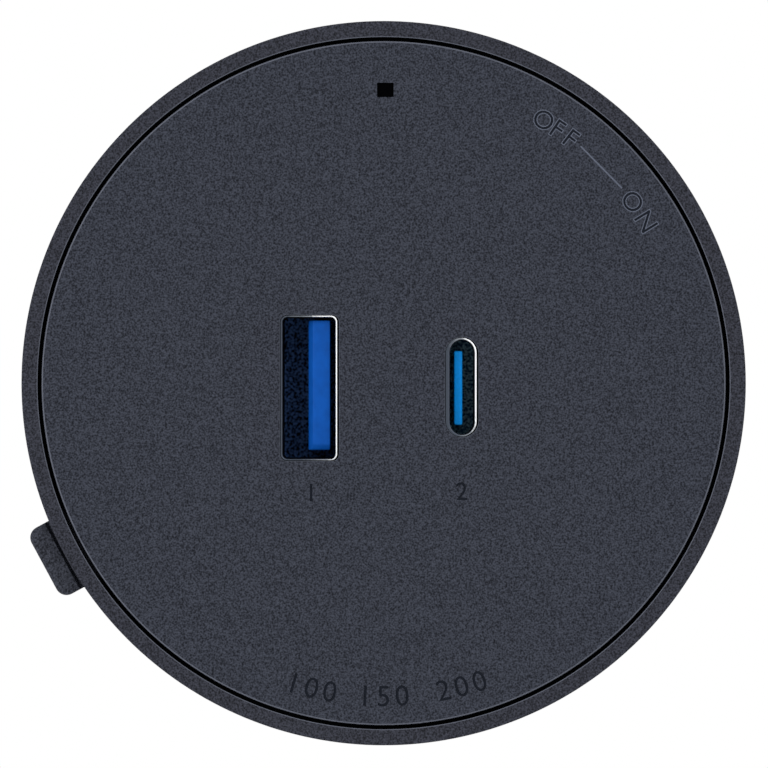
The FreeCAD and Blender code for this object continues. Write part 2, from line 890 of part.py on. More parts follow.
def make_boards():
    """The port board and the mains board, which leaves room for the latch at its left."""
    hole = "peg_width + 2 * flat_clearance"
    usb_board = new_node("usb_board")
    plate = sketch_in(usb_board, "plate", usb_board_back)
    add_outline(plate, board_outline(usb_board_half, usb_board_half))
    add_squares(plate, mirrored_points(cover_post_circle, "cover_post_angle"), hole)
    add_link_holes(plate)
    pad(usb_board, plate, "board_thickness")
    cut = sketch_in(usb_board, "button_cut", usb_board_back, turn="button_angle")
    add_box(
        cut,
        usb_board_cut,
        f"{usb_board_half} + {usb_board_cut}",
        f"0 - {usb_board_cut}",
        usb_board_cut,
    )
    pocket(usb_board, cut, "board_thickness", up=True)

    mains_board = new_node("mains_board")
    plate = sketch_in(mains_board, "plate", mains_board_back)
    add_outline(plate, board_outline(mains_board_half, grown("mains_board_cut")))
    posts = mirrored_points(grown("mains_post_circle"), "mains_post_angle")
    add_squares(plate, posts, hole)
    add_link_holes(plate)
    add_strip_slots(plate, "flat_clearance")
    pad(mains_board, plate, "board_thickness")


def link_positions():
    return [f"{step} * link_pitch" for step in (-1.5, -0.5, 0.5, 1.5)]


def add_link_holes(sketch):
    for y in link_positions():
        hole = "(link_pin + 2 * screw_clearance)"
        centred_box(sketch, link_x, y, hole, hole)


def add_strip_slots(sketch, clearance):
    """Slots for the three contact strips, which stand round the middle of the foot."""
    thick = f"(strip_thickness + 2 * {clearance})"
    wide = f"(strip_width + 2 * {clearance})"
    middle = "(strip_offset + strip_thickness / 2)"
    centred_box(sketch, "0", middle, wide, thick)
    centred_box(sketch, "0", f"0 - {middle}", wide, thick)
    centred_box(sketch, middle, "0", thick, wide)


def make_link():
    """The pin header between the boards."""
    header = new_node("board_link")
    base = sketch_in(header, "base", mains_board_top)
    centred_box(base, link_x, "0", "link_base_depth", "4 * link_pitch")
    for y in link_positions():
        hole = "(link_pin + 2 * screw_clearance)"
        centred_box(base, link_x, y, hole, hole)
    pad(header, base, "link_base_depth")
    pins = new_node("board_link_pins")
    bottom = f"({mains_board_back} - link_tail)"
    sketch = sketch_in(pins, "pins", bottom)
    for y in link_positions():
        centred_box(sketch, link_x, y, "link_pin", "link_pin")
    pad(pins, sketch, f"{usb_board_top} + link_tail - {bottom}")


def make_transformer():
    """Two ferrite E halves round a bobbin, whose winding is wrapped in tape."""
    core_bottom = f"({mains_board_top} + core_lift)"
    core_top = f"({core_bottom} + core_height)"
    window_bottom = f"({core_bottom} + core_yoke)"
    window_top = f"({core_top} - core_yoke)"
    core_x, core_width = grown("core_x"), grown("core_width")
    core_leg, middle_leg = grown("core_leg"), grown("core_middle_leg")
    core_depth, bobbin_depth = grown("core_depth"), grown("bobbin_depth")
    core_left = f"{core_x} - {core_width} / 2"

    core = new_node("transformer_core")
    frame = sketch_in(core, "frame", plane="XZ_Plane")
    add_box(frame, core_left, core_right, core_bottom, core_top)
    for side in ("-", "+"):
        inner = f"{core_x} {side} {middle_leg} / 2"
        outer = f"{core_x} {side} ({core_width} / 2 - {core_leg})"
        left, right = (outer, inner) if side == "-" else (inner, outer)
        add_box(frame, left, right, window_bottom, window_top)
    pad(core, frame, core_depth, both=True)

    bobbin = new_node("transformer_bobbin")
    flange_width = f"({core_width} - 2 * {core_leg} - 2 * bobbin_clearance)"
    hole_width = f"({middle_leg} + 2 * bobbin_clearance)"
    hole_depth = f"({core_depth} + 2 * bobbin_clearance)"
    sleeve_width = f"({hole_width} + 2 * bobbin_flange)"
    sleeve_depth = f"({hole_depth} + 2 * bobbin_flange)"
    sleeve_bottom = f"({window_bottom} + bobbin_clearance)"
    sleeve_height = f"({window_top} - {window_bottom} - 2 * bobbin_clearance)"
    sleeve = sketch_in(bobbin, "sleeve", sleeve_bottom)
    centred_box(sleeve, core_x, "0", sleeve_width, sleeve_depth)
    centred_box(sleeve, core_x, "0", hole_width, hole_depth)
    pad(bobbin, sleeve, sleeve_height)
    for name, level in (
        ("lower", sleeve_bottom),
        ("upper", f"{sleeve_bottom} + {sleeve_height} - bobbin_flange"),
    ):
        flange = sketch_in(bobbin, name, level)
        centred_box(flange, core_x, "0", flange_width, bobbin_depth)
        centred_box(flange, core_x, "0", hole_width, hole_depth)
        pad(bobbin, flange, "bobbin_flange")
    feet = sketch_in(bobbin, "feet", mains_board_top)
    foot_middle = f"({bobbin_depth} - bobbin_foot) / 2"
    centred_box(feet, core_x, foot_middle, flange_width, "bobbin_foot")
    centred_box(feet, core_x, f"0 - {foot_middle}", flange_width, "bobbin_foot")
    pad(bobbin, feet, f"{sleeve_bottom} - {mains_board_top}")

    winding = new_node("transformer_winding")
    turns = sketch_in(winding, "turns", f"{sleeve_bottom} + bobbin_flange")
    centred_rounded(
        turns,
        core_x,
        "0",
        f"{flange_width} - 2 * winding_setback",
        grown("winding_depth"),
        "winding_corner",
    )
    centred_box(turns, core_x, "0", sleeve_width, sleeve_depth)
    pad(winding, turns, f"{sleeve_height} - 2 * bobbin_flange")


def make_capacitors():
    """The two cans of the mains side and the smaller one behind the ports."""
    pair = new_node("bulk_capacitors")
    cans = sketch_in(pair, "cans", mains_board_top)
    for can in ("first", "second"):
        x, y = grown(f"bulk_{can}_x"), grown(f"bulk_{can}_y")
        add_circle(cans, x, y, grown("bulk_radius"))
    pad(pair, cans, "bulk_height")
    single = new_node("output_capacitor")
    can = sketch_in(single, "can", mains_board_top)
    add_circle(can, grown("output_x"), grown("output_y"), grown("output_radius"))
    pad(single, can, "output_height")


def make_choke():
    """A drum choke: two square flanges with the wound waist between them."""
    body = new_node("mains_choke")
    x, y, width = grown("choke_x"), grown("choke_y"), grown("choke_width")
    top_level = f"{mains_board_top} + choke_height - choke_flange"
    for name, level in (("lower", mains_board_top), ("upper", top_level)):
        flange = sketch_in(body, name, level)
        centred_box(flange, x, y, width, width)
        pad(body, flange, "choke_flange")
    waist = sketch_in(body, "waist", f"{mains_board_top} + choke_flange")
    add_circle(waist, x, y, f"{width} / 2 - choke_flange / 2")
    pad(body, waist, "choke_height - 2 * choke_flange")


def make_fuse():
    """A moulded fuse block on its board."""
    body = new_node("fuse")
    block = sketch_in(body, "block", mains_board_top)
    centred_box(block, *map(grown, ("fuse_x", "fuse_y", "fuse_width", "fuse_depth")))
    pad(body, block, "fuse_height")


def coated_disc(label, x, y, radius, depth, plane):
    """A dipped disc that stands on edge on its two wire legs."""
    body = new_node(label)
    x, y, radius, depth = (grown(word) for word in (x, y, radius, depth))
    middle = f"({mains_board_top} + disc_lift + {radius})"
    across, level = (x, f"0 - {y}") if plane == "XZ_Plane" else (y, x)
    disc = sketch_in(body, "disc", level, plane=plane)
    add_circle(disc, across, middle, radius)
    pad(body, disc, depth, both=True)
    legs = sketch_in(body, "legs", mains_board_top)
    for side in ("-", "+"):
        offset = f"{side} {radius} / 2"
        leg_x = f"{x} {offset}" if plane == "XZ_Plane" else x
        leg_y = y if plane == "XZ_Plane" else f"{y} {offset}"
        centred_box(legs, leg_x, leg_y, "lead_width", "lead_width")
    pad(body, legs, f"disc_lift + {radius} / 2")


def make_small_parts():
    coated_disc("varistor", "varistor_x", "varistor_y", "varistor_radius", "varistor_depth", "YZ_Plane")
    coated_disc(
        "y_capacitor",
        "safety_cap_x",
        "safety_cap_y",
        "safety_cap_radius",
        "safety_cap_depth",
        "XZ_Plane",
    )
    rectifier = new_node("bridge_rectifier")
    block = sketch_in(rectifier, "block", mains_board_top)
    places = ("rectifier_x", "rectifier_y", "rectifier_width", "rectifier_depth")
    centred_box(block, *map(grown, places))
    pad(rectifier, block, "rectifier_height")
    chip = new_node("usb_controller")
    block = sketch_in(chip, "block", usb_board_back)
    centred_box(block, "0", "chip_y", "chip_width", "chip_width")
    pad(chip, block, "chip_height", down=True)


def make_rear_base():
    """The rear plate, with the posts of the mains board and the rails and post of the latch."""
    body = new_node("rear_base", button_frame())
    turned_back = "0 - button_angle"
    floor = sketch_in(body, "floor")
    add_circle(floor, "0", "0", f"{wall_inner} - floor_clearance")
    add_circle(floor, bolt_x, bolt_y, "bolt_radius + bolt_hole_clearance")
    add_circle(floor, "0", "0", "neck_radius + screw_clearance")
    pad(body, floor, "floor_thickness")
    posts = sketch_in(body, "board_posts", "floor_thickness", turn=turned_back)
    points = mirrored_points(grown("mains_post_circle"), "mains_post_angle")
    add_squares(posts, points, "post_width")
    pad(body, posts, f"{mains_board_back} - floor_thickness")
    staked_pegs(body, "board", points, mains_board_back, "board_thickness", turn=turned_back)
    rail_face = "(button_width / 2 + rail_clearance)"
    rails = sketch_in(body, "rail", "floor_thickness")
    rail_start = f"({slider_inner_x} - rail_setback)"
    rail_end = f"({wall_inner} - rail_outer_setback)"
    add_box(rails, rail_start, rail_end, rail_face, f"{rail_face} + rail_thickness")
    add_box(
        rails,
        rail_start,
        f"{bolt_x} + guide_outer",
        f"0 - {rail_face} - rail_thickness",
        f"0 - {rail_face}",
    )
    pad(body, rails, "rail_height")
    post = sketch_in(body, "spring_post", "floor_thickness")
    half_width = "spring_post_half_width"
    add_box(post, spring_post_x, spring_post_face, f"0 - {half_width}", half_width)
    pad(body, post, "slider_tab_level - floor_thickness")
    spigot = sketch_in(body, "spigot", spring_post_face, plane="YZ_Plane")
    add_circle(spigot, "0", "button_spring_level", "spigot_radius")
    pad(body, spigot, "spigot_length")
    boss_points = ring_points(boss_circle, "boss_angle", sizes["boss_count"])
    recess = sketch_in(body, "screw_recess", turn=turned_back)
    add_circles(recess, boss_points, "rear_head_radius + screw_clearance")
    pocket(body, recess, "rear_head_recess", up=True)
    through = sketch_in(body, "screw_holes", turn=turned_back)
    add_circles(through, boss_points, "rear_screw_radius + flat_clearance")
    pocket(body, through, "floor_thickness", up=True)
    staked_pegs(
        body,
        "flange",
        ring_points("flange_peg_circle", "0", 2),
        "floor_thickness",
        "flange_depth",
        turn=f"{turned_back} + flange_turn",
    )
    staked_pegs(
        body, "guide", [(guide_ear_x, guide_ear_y)], "floor_thickness", "guide_ear_depth"
    )


def make_foot():
    """The insulating foot: a flange inside, a round neck and the upper half of the hammer head."""
    foot = new_node("track_foot")
    flange = sketch_in(foot, "flange", "floor_thickness", turn="flange_turn")
    centred_box(flange, "0", "0", f"2 * {flange_half_length}", "2 * flange_half_width")
    add_squares(
        flange, ring_points("flange_peg_circle", "0", 2), "peg_width + 2 * screw_clearance"
    )
    pad(foot, flange, "flange_depth")
    neck = sketch_in(foot, "neck", head_top)
    add_circle(neck, "0", "0", "neck_radius")
    pad(foot, neck, "neck_length + floor_thickness")
    head = sketch_in(foot, "head", head_split)
    add_obround(head, "0", "0", "head_half_length", "head_radius")
    pad(foot, head, "head_depth")
    slots = sketch_in(foot, "slots", head_split)
    add_strip_slots(slots, "strip_clearance")
    pocket(foot, slots, "head_depth + neck_length + floor_thickness + flange_depth", up=True)
    channels = sketch_in(foot, "channels", head_split)
    half_strip = "(strip_width / 2 + strip_clearance)"
    end = "(head_half_length + strip_thickness)"
    add_box(channels, f"0 - {half_strip}", half_strip, "strip_offset + strip_thickness", end)
    add_box(
        channels, f"0 - {half_strip}", half_strip, f"0 - {end}", "0 - strip_offset - strip_thickness"
    )
    pocket(foot, channels, "strip_thickness + strip_clearance", up=True)
    centre = sketch_in(foot, "cap_pilot", head_split)
    add_circle(centre, "0", "0", "cap_screw_radius + screw_clearance")
    pocket(foot, centre, "cap_screw_length - cap_depth + cap_head_recess + flat_clearance", up=True)

    cap = new_node("foot_cap")
    plate = sketch_in(cap, "plate", foot_tip)
    add_obround(plate, "0", "0", "head_half_length", "head_radius")
    pad(cap, plate, "cap_depth")
    round_edges(
        cap, "Chamfer", "cap_chamfer", lambda edge: level_of(edge) is not None
        and abs(level_of(edge) - value(foot_tip)) < 1e-4
    )
    slot = sketch_in(cap, "earth_slot", foot_tip)
    thick = "(strip_thickness + 2 * strip_clearance)"
    wide = "(strip_width + 2 * strip_clearance)"
    centred_box(slot, "(strip_offset + strip_thickness / 2)", "0", thick, wide)
    pocket(cap, slot, "cap_depth", up=True)
    recess = sketch_in(cap, "screw_recess", foot_tip)
    add_circle(recess, "0", "0", "cap_head_radius + screw_clearance")
    pocket(cap, recess, "cap_head_recess", up=True)
    hole = sketch_in(cap, "screw_hole", foot_tip)
    add_circle(hole, "0", "0", "cap_screw_radius + flat_clearance")
    pocket(cap, hole, "cap_depth", up=True)


def make_contacts():
    """Brass strips: one leg up the neck to the mains board and one blade out of the head's end."""
    tail_top = f"({mains_board_top} + tail_height)"
    blade_end = "(head_half_length + blade_reach)"
    for label, turn in (("live_contact", 0), ("neutral_contact", 180)):
        frame = face_frame() * Placement(Vector(0, 0, 0), Rotation(Vector(0, 0, 1), turn))
        body = new_node(label, frame)
        profile = sketch_in(body, "profile", plane="YZ_Plane")
        add_outline(
            profile,
            [
                ("strip_offset", tail_top),
                ("strip_offset", head_split),
                (blade_end, head_split),
                (blade_end, f"{head_split} + strip_thickness"),
                ("strip_offset + strip_thickness", f"{head_split} + strip_thickness"),
                ("strip_offset + strip_thickness", tail_top),
            ],
        )
        pad(body, profile, "strip_width", both=True)
        round_edges(body, "Fillet", "blade_corner", is_blade_corner)

    earth = new_node("earth_contact")
    strip = sketch_in(earth, "strip", f"{foot_tip} - earth_reach")
    centred_box(strip, "(strip_offset + strip_thickness / 2)", "0", "strip_thickness", "strip_width")
    pad(earth, strip, f"{tail_top} - {foot_tip} + earth_reach")


def is_blade_corner(edge):
    """The two short upright edges at the outer end of a blade."""
    box = edge.BoundBox
    at_end = abs(box.YMin - value("head_half_length + blade_reach")) < 1e-4
    return at_end and box.YLength < 1e-4 and box.XLength < 1e-4


def make_button():
    """The thumb button with its retainer, leg, slider and wedge, all one moulding."""
    body = new_node("release_button", button_frame())
    top = f"({ledge_top} - flat_clearance)"
    outer = "(body_radius + button_stand_out)"
    half = "(button_width / 2)"
    thumb = sketch_in(body, "thumb", "button_rear_level")
    corners = (False, True, True, False)
    add_rounded(thumb, leg_inner, outer, f"0 - {half}", half, "button_corner", corners)
    pad(body, thumb, f"{top} - button_rear_level")
    round_edges(body, "Chamfer", "button_chamfer", is_thumb_edge)
    add_retainer(body, f"({ledge_bottom} - flat_clearance)")
    leg = sketch_in(body, "leg", slider_level)
    add_box(leg, leg_inner, leg_outer, f"0 - {half}", half)
    pad(body, leg, f"button_rear_level - {slider_level}")
    slider = sketch_in(body, "slider", plane="XZ_Plane")
    add_outline(
        slider,
        [
            (slider_inner_x, slider_level),
            (leg_inner, slider_level),
            (leg_inner, slider_top),
            (f"{slider_inner_x} + slider_tab", slider_top),
            (f"{slider_inner_x} + slider_tab", "slider_tab_level"),
            (slider_inner_x, "slider_tab_level"),
        ],
    )
    pad(body, slider, "button_width", both=True)
    spigot = sketch_in(body, "spigot", slider_inner_x, plane="YZ_Plane")
    add_circle(spigot, "0", "button_spring_level", "spigot_radius")
    pad(body, spigot, "spigot_length", down=True)
    arm = sketch_in(body, "arm", slider_level)
    wedge_side = f"({bolt_y} + bolt_block_half_width - flat_clearance)"
    add_box(arm, f"{bolt_x} + arm_inner", f"{bolt_x} + wedge_back", wedge_side, f"0 - {half}")
    pad(body, arm, "slider_thickness")
    wedge = sketch_in(body, "wedge", f"0 - {bolt_y}", plane="XZ_Plane")
    face_start = f"{bolt_x} + ramp_start + ramp_gap"
    wedge_top = f"({slider_level} + wedge_height)"
    add_outline(
        wedge,
        [
            (f"{face_start} + ({slider_level} - {bolt_level}) / ramp_slope", slider_level),
            (f"{bolt_x} + wedge_back", slider_level),
            (f"{bolt_x} + wedge_back", wedge_top),
            (f"{face_start} + ({wedge_top} - {bolt_level}) / ramp_slope", wedge_top),
        ],
    )
    pad(body, wedge, "2 * (bolt_block_half_width - flat_clearance)", both=True)


def add_retainer(body, top):
    """The curved flange behind the slot that keeps the button in the housing."""
    radius = f"({wall_inner} - flat_clearance)"
    half = "retainer_half_width"
    reach = value(radius)
    edge_x = f"(sqrt({radius} * {radius} - {half} * {half}))"
    bottom = "(button_rear_level - retainer_extra)"
    sketch = sketch_in(body, "retainer", bottom)
    low = Vector(value(edge_x), -value(half), 0)
    high = Vector(value(edge_x), value(half), 0)
    inner_low = Vector(value(leg_inner), -value(half), 0)
    inner_high = Vector(value(leg_inner), value(half), 0)
    arc = sketch.addGeometry(Part.Arc(low, Vector(reach, 0, 0), high))
    upper = sketch.addGeometry(Part.LineSegment(high, inner_high))
    inner = sketch.addGeometry(Part.LineSegment(inner_high, inner_low))
    lower = sketch.addGeometry(Part.LineSegment(inner_low, low))
    ties = [
        joined("Coincident", arc, 2, upper, 1),
        joined("Coincident", upper, 2, inner, 1),
        joined("Coincident", inner, 2, lower, 1),
        joined("Coincident", lower, 2, arc, 1),
        (Sketcher.Constraint("Horizontal", upper), None),
        (Sketcher.Constraint("Horizontal", lower), None),
        radius_tie(arc, radius),
    ]
    ties += point_ties(arc, 3, "0", "0")
    ties += point_ties(inner, 1, leg_inner, half)
    ties += point_ties(inner, 2, leg_inner, f"0 - {half}")
    hold(sketch, ties)
    pad(body, sketch, f"{top} - {bottom}")


def is_thumb_edge(edge):
    """The rim of the thumb pad's front and rear faces, where it stands outside the housing."""
    level = level_of(edge)
    if level is None:
        return False
    front = value(ledge_top) - value("flat_clearance")
    at_face = min(abs(level - front), abs(level - value("button_rear_level"))) < 1e-4
    return at_face and edge.BoundBox.XMax > value("body_radius")


def make_bolt():
    """The latch bolt: a round nose for the track's slot under a block with a sloping cam face."""
    body = new_node("latch_bolt", button_frame())
    block = sketch_in(body, "block", f"0 - {bolt_y}", plane="XZ_Plane")
    ramp_end = f"{bolt_x} + ramp_start + ramp_run"
    add_outline(
        block,
        [
            (f"{bolt_x} - bolt_block_inner", bolt_level),
            (f"{bolt_x} + ramp_start", bolt_level),
            (ramp_end, f"{bolt_level} + ramp_run * ramp_slope"),
            (ramp_end, "bolt_block_top"),
            (f"{bolt_x} - bolt_block_inner", "bolt_block_top"),
        ],
    )
    pad(body, block, "2 * bolt_block_half_width", both=True)
    nose = sketch_in(body, "nose", "0 - bolt_reach")
    add_circle(nose, bolt_x, bolt_y, "bolt_radius")
    pad(body, nose, f"bolt_reach + {bolt_level}")
    spigot = sketch_in(body, "spigot", "bolt_block_top")
    add_circle(spigot, bolt_x, bolt_y, "spigot_radius")
    pad(body, spigot, "spigot_length")
    round_edges(
        body, "Chamfer", "bolt_tip", lambda edge: level_of(edge) is not None
        and abs(level_of(edge) + value("bolt_reach")) < 1e-4
    )


def make_guide():
    """The bracket that guides the bolt and holds its spring, with one ear for a staked peg."""
    body = new_node("latch_guide", button_frame())
    back = f"({bolt_x} - bolt_block_inner - guide_clearance - guide_wall)"
    front = f"({bolt_x} + guide_outer)"
    block = sketch_in(body, "block", "floor_thickness")
    add_box(block, back, front, f"{bolt_y} - {guide_half_width}", f"{bolt_y} + {guide_half_width}")
    pad(body, block, "guide_roof_level + guide_roof - floor_thickness")
    ear = sketch_in(body, "ear", "floor_thickness")
    add_box(
        ear,
        f"{guide_ear_x} - guide_ear_width / 2",
        f"{guide_ear_x} + guide_ear_width / 2",
        f"{guide_ear_y} - guide_ear_width / 2",
        f"{bolt_y} - {guide_half_width} + guide_wall / 2",
    )
    pad(body, ear, "guide_ear_depth")
    room = sketch_in(body, "room", "floor_thickness")
    half_room = "(bolt_block_half_width + guide_clearance)"
    add_box(
        room,
        f"{back} + guide_wall",
        f"{front} + guide_wall",
        f"{bolt_y} - {half_room}",
        f"{bolt_y} + {half_room}",
    )
    pocket(body, room, "guide_roof_level - floor_thickness", up=True)
    hole = sketch_in(body, "peg_hole", "floor_thickness")
    add_squares(hole, [(guide_ear_x, guide_ear_y)], "peg_width + 2 * flat_clearance")
    pocket(body, hole, "guide_ear_depth", up=True)
    spigot = sketch_in(body, "spigot", "guide_roof_level")
    add_circle(spigot, bolt_x, bolt_y, "spigot_radius")
    pad(body, spigot, "spigot_length", down=True)


def make_springs():
    """The two compression springs, each as the sleeve that its coils fill."""
    inner_radius = "(spring_radius - spring_wire)"
    spring = new_node("button_spring", button_frame())
    coil = sketch_in(spring, "coil", spring_post_face, plane="YZ_Plane")
    add_circle(coil, "0", "button_spring_level", "spring_radius")
    add_circle(coil, "0", "button_spring_level", inner_radius)
    pad(spring, coil, f"{slider_inner_x} - {spring_post_face}")

    spring = new_node("bolt_spring", button_frame())
    coil = sketch_in(spring, "coil", "bolt_block_top")
    add_circle(coil, bolt_x, bolt_y, "spring_radius")
    add_circle(coil, bolt_x, bolt_y, inner_radius)
    pad(spring, coil, "guide_roof_level - bolt_block_top")


def make_screws():
    screws(
        "rear_screws",
        ring_points(boss_circle, "boss_angle", sizes["boss_count"]),
        "rear_head_recess",
        "rear_head_height",
        "rear_screw_radius",
        "rear_head_radius",
        "rear_screw_length",
    )
    screws(
        "foot_cap_screw",
        [("0", "0")],
        f"{foot_tip} + cap_head_recess",
        "cap_head_recess - screw_clearance",
        "cap_screw_radius",
        "cap_head_radius",
        "cap_screw_length",
    )


def check_and_export():
    """Stops on a failed feature, a cut that cuts nothing or a broken solid, and writes the parts."""
    document.recompute()
    for item in document.Objects:
        if "Invalid" in item.State or "Error" in item.State:
            raise RuntimeError(f"{item.Label} failed: {item.State}")
    for cut in cuts:
        if cut.Shape.Volume > cut.BaseFeature.Shape.Volume - 1e-6:
            raise RuntimeError(f"{cut.Label} cuts nothing")
    os.makedirs("parts", exist_ok=True)
    for node in nodes:
        if node.Shape.isNull() or not node.Shape.isValid() or not node.Shape.Solids:
            raise RuntimeError(f"{node.Label} is not a sound solid")
        node.Shape.exportStep(f"parts/{node.Label}.step")
    print(len(nodes), "nodes")


make_housing()
make_front_cover()
make_wide_port()
make_narrow_port()
make_indicator()
make_boards()
make_link()
make_transformer()
make_capacitors()
make_choke()
make_fuse()
make_small_parts()
make_rear_base()
make_foot()
make_contacts()
make_button()
make_bolt()
make_guide()
make_springs()
make_screws()
check_and_export()
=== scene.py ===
from math import cos, pi, radians, sin

import bmesh
import bpy
from mathutils import Matrix, Vector


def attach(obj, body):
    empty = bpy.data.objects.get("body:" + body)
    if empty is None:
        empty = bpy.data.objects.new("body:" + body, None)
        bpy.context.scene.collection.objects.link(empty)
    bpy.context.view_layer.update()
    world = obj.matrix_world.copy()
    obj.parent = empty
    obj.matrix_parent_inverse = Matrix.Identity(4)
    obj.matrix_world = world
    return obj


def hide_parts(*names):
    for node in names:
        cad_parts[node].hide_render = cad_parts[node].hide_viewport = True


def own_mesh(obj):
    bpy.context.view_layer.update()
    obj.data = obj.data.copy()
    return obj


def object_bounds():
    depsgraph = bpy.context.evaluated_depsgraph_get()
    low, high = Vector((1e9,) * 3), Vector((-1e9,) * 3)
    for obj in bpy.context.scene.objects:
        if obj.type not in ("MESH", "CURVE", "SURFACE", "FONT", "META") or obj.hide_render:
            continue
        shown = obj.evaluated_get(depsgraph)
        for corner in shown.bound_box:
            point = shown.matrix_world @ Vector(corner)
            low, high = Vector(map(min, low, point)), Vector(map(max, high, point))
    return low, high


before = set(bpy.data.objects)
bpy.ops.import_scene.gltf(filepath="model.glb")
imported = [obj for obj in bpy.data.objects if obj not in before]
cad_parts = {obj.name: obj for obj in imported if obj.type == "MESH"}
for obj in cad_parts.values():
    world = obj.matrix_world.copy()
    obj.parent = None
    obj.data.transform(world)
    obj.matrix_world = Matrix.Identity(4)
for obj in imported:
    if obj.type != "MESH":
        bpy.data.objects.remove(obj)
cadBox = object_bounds()

mm = 0.001
body = "body"

# Pieces are drawn face up, in millimetres, and then stood up so that the face looks to the front.
onWall = Matrix.Rotation(pi / 2, 4, "X") @ Matrix.Scale(mm, 4)
offWall = onWall.inverted()


# Nodes and materials

def linear(hexColour):
    channels = [int(hexColour[k:k + 2], 16) / 255 for k in (1, 3, 5)]
    curve = [c / 12.92 if c <= 0.04045 else ((c + 0.055) / 1.055) ** 2.4 for c in channels]
    return (*curve, 1.0)


# Adds one node: its settings, then its inputs, where a socket is linked and any other value is
# set, and for a colour ramp its stops, each a position and a hex colour.
def addNode(tree, kind, inputs=None, stops=(), **settings):
    node = tree.nodes.new(kind)
    for name, value in settings.items():
        setattr(node, name, value)
    for name, value in (inputs or {}).items():
        if isinstance(value, bpy.types.NodeSocket):
            tree.links.new(value, node.inputs[name])
        else:
            node.inputs[name].default_value = value
    for index, (position, colour) in enumerate(stops):
        if index == len(node.color_ramp.elements):
            node.color_ramp.elements.new(position)
        element = node.color_ramp.elements[index]
        element.position, element.color = position, linear(colour)
    return node


def startMaterial(name):
    material = bpy.data.materials.new(name)
    material.use_nodes = True
    tree = material.node_tree
    tree.nodes.clear()
    place = addNode(tree, "ShaderNodeTexCoord").outputs["Object"]
    return material, tree, place


def finishMaterial(tree, shader):
    addNode(tree, "ShaderNodeOutputMaterial", {"Surface": shader.outputs["BSDF"]})


# Nearly all of a noise lies between these two values.
noiseLow, noiseHigh = 0.3, 0.7


# Matt surfaces with an even grain of darker and lighter dots, such as ABS from a spark-eroded
# mould. Its real dots are about 0.05 mm wide, and are drawn up to three times coarser to show.
# Sizes and depths are in millimetres here and below.
def makeGrained(
    name, dark, light, grain=0.145, depth=0.012, roughness=0.75, specular=0.12, contrast=0.3
):
    material, tree, place = startMaterial(name)
    dots = addNode(
        tree, "ShaderNodeTexNoise", {"Vector": place, "Scale": 1 / (grain * mm), "Detail": 0.0}
    ).outputs["Fac"]
    colour = addNode(
        tree, "ShaderNodeValToRGB", {"Fac": dots},
        stops=((0.5 - contrast, dark), (0.5 + contrast, light)),
    )
    relief = addNode(
        tree, "ShaderNodeBump", {"Height": dots, "Distance": depth * mm, "Strength": 1.0}
    )
    shader = addNode(
        tree, "ShaderNodeBsdfPrincipled",
        {
            "Base Color": colour.outputs["Color"],
            "Roughness": roughness,
            "Specular IOR Level": specular,
            "Normal": relief.outputs["Normal"],
        },
    )
    finishMaterial(tree, shader)
    return material


# Smooth moulded, dipped or coated surfaces: faint flow marks and a gloss that wanders a little.
def makeMoulded(name, dark, light, roughness, grain=0.6, depth=0.004, specular=0.3, coat=0.0):
    material, tree, place = startMaterial(name)
    flow = addNode(
        tree, "ShaderNodeTexNoise", {"Vector": place, "Scale": 1 / (grain * mm), "Detail": 2.0}
    ).outputs["Fac"]
    colour = addNode(
        tree, "ShaderNodeValToRGB", {"Fac": flow}, stops=((0.2, dark), (0.8, light))
    )
    gloss = addNode(
        tree, "ShaderNodeMapRange",
        {
            "Value": flow, "From Min": noiseLow, "From Max": noiseHigh,
            "To Min": roughness * 0.85, "To Max": roughness * 1.15,
        },
    )
    relief = addNode(
        tree, "ShaderNodeBump", {"Height": flow, "Distance": depth * mm, "Strength": 1.0}
    )
    shader = addNode(
        tree, "ShaderNodeBsdfPrincipled",
        {
            "Base Color": colour.outputs["Color"],
            "Roughness": gloss.outputs["Result"],
            "Specular IOR Level": specular,
            "Coat Weight": coat,
            "Normal": relief.outputs["Normal"],
        },
    )
    finishMaterial(tree, shader)
    return material


# Plated, stamped or drawn metal: stretch pulls the marks out along one of the three axes.
def makeMetal(name, dark, light, roughness, grain, depth, stretch=(1, 1, 1)):
    material, tree, place = startMaterial(name)
    pulled = addNode(tree, "ShaderNodeMapping", {"Vector": place, "Scale": stretch})
    marks = addNode(
        tree, "ShaderNodeTexNoise",
        {"Vector": pulled.outputs["Vector"], "Scale": 1 / (grain * mm), "Detail": 3.0},
    ).outputs["Fac"]
    colour = addNode(
        tree, "ShaderNodeValToRGB", {"Fac": marks}, stops=((0.25, dark), (0.75, light))
    )
    gloss = addNode(
        tree, "ShaderNodeMapRange",
        {
            "Value": marks, "From Min": noiseLow, "From Max": noiseHigh,
            "To Min": roughness * 0.8, "To Max": roughness * 1.25,
        },
    )
    relief = addNode(
        tree, "ShaderNodeBump", {"Height": marks, "Distance": depth * mm, "Strength": 1.0}
    )
    shader = addNode(
        tree, "ShaderNodeBsdfPrincipled",
        {
            "Base Color": colour.outputs["Color"],
            "Metallic": 1.0,
            "Roughness": gloss.outputs["Result"],
            "Normal": relief.outputs["Normal"],
        },
    )
    finishMaterial(tree, shader)
    return material


# How bright a lip is painted, from 0 to 1: about half, more or less by a blotchy share of random
# tone, and more towards the right and the top by the two other shares. These paint the highlight
# there and leave painted shade at the left and the bottom.
lipToneAndHighlight = {
    "blotch": 0.25,
    "blotchShare": 0.06,
    "rightHighlightShare": 0.54,
    "topHighlightShare": 0.16,
    "stops": ((0.22, "#454b55"), (0.66, "#868b92"), (0.84, "#f2f4f6")),
    "roughness": 0.32,
}
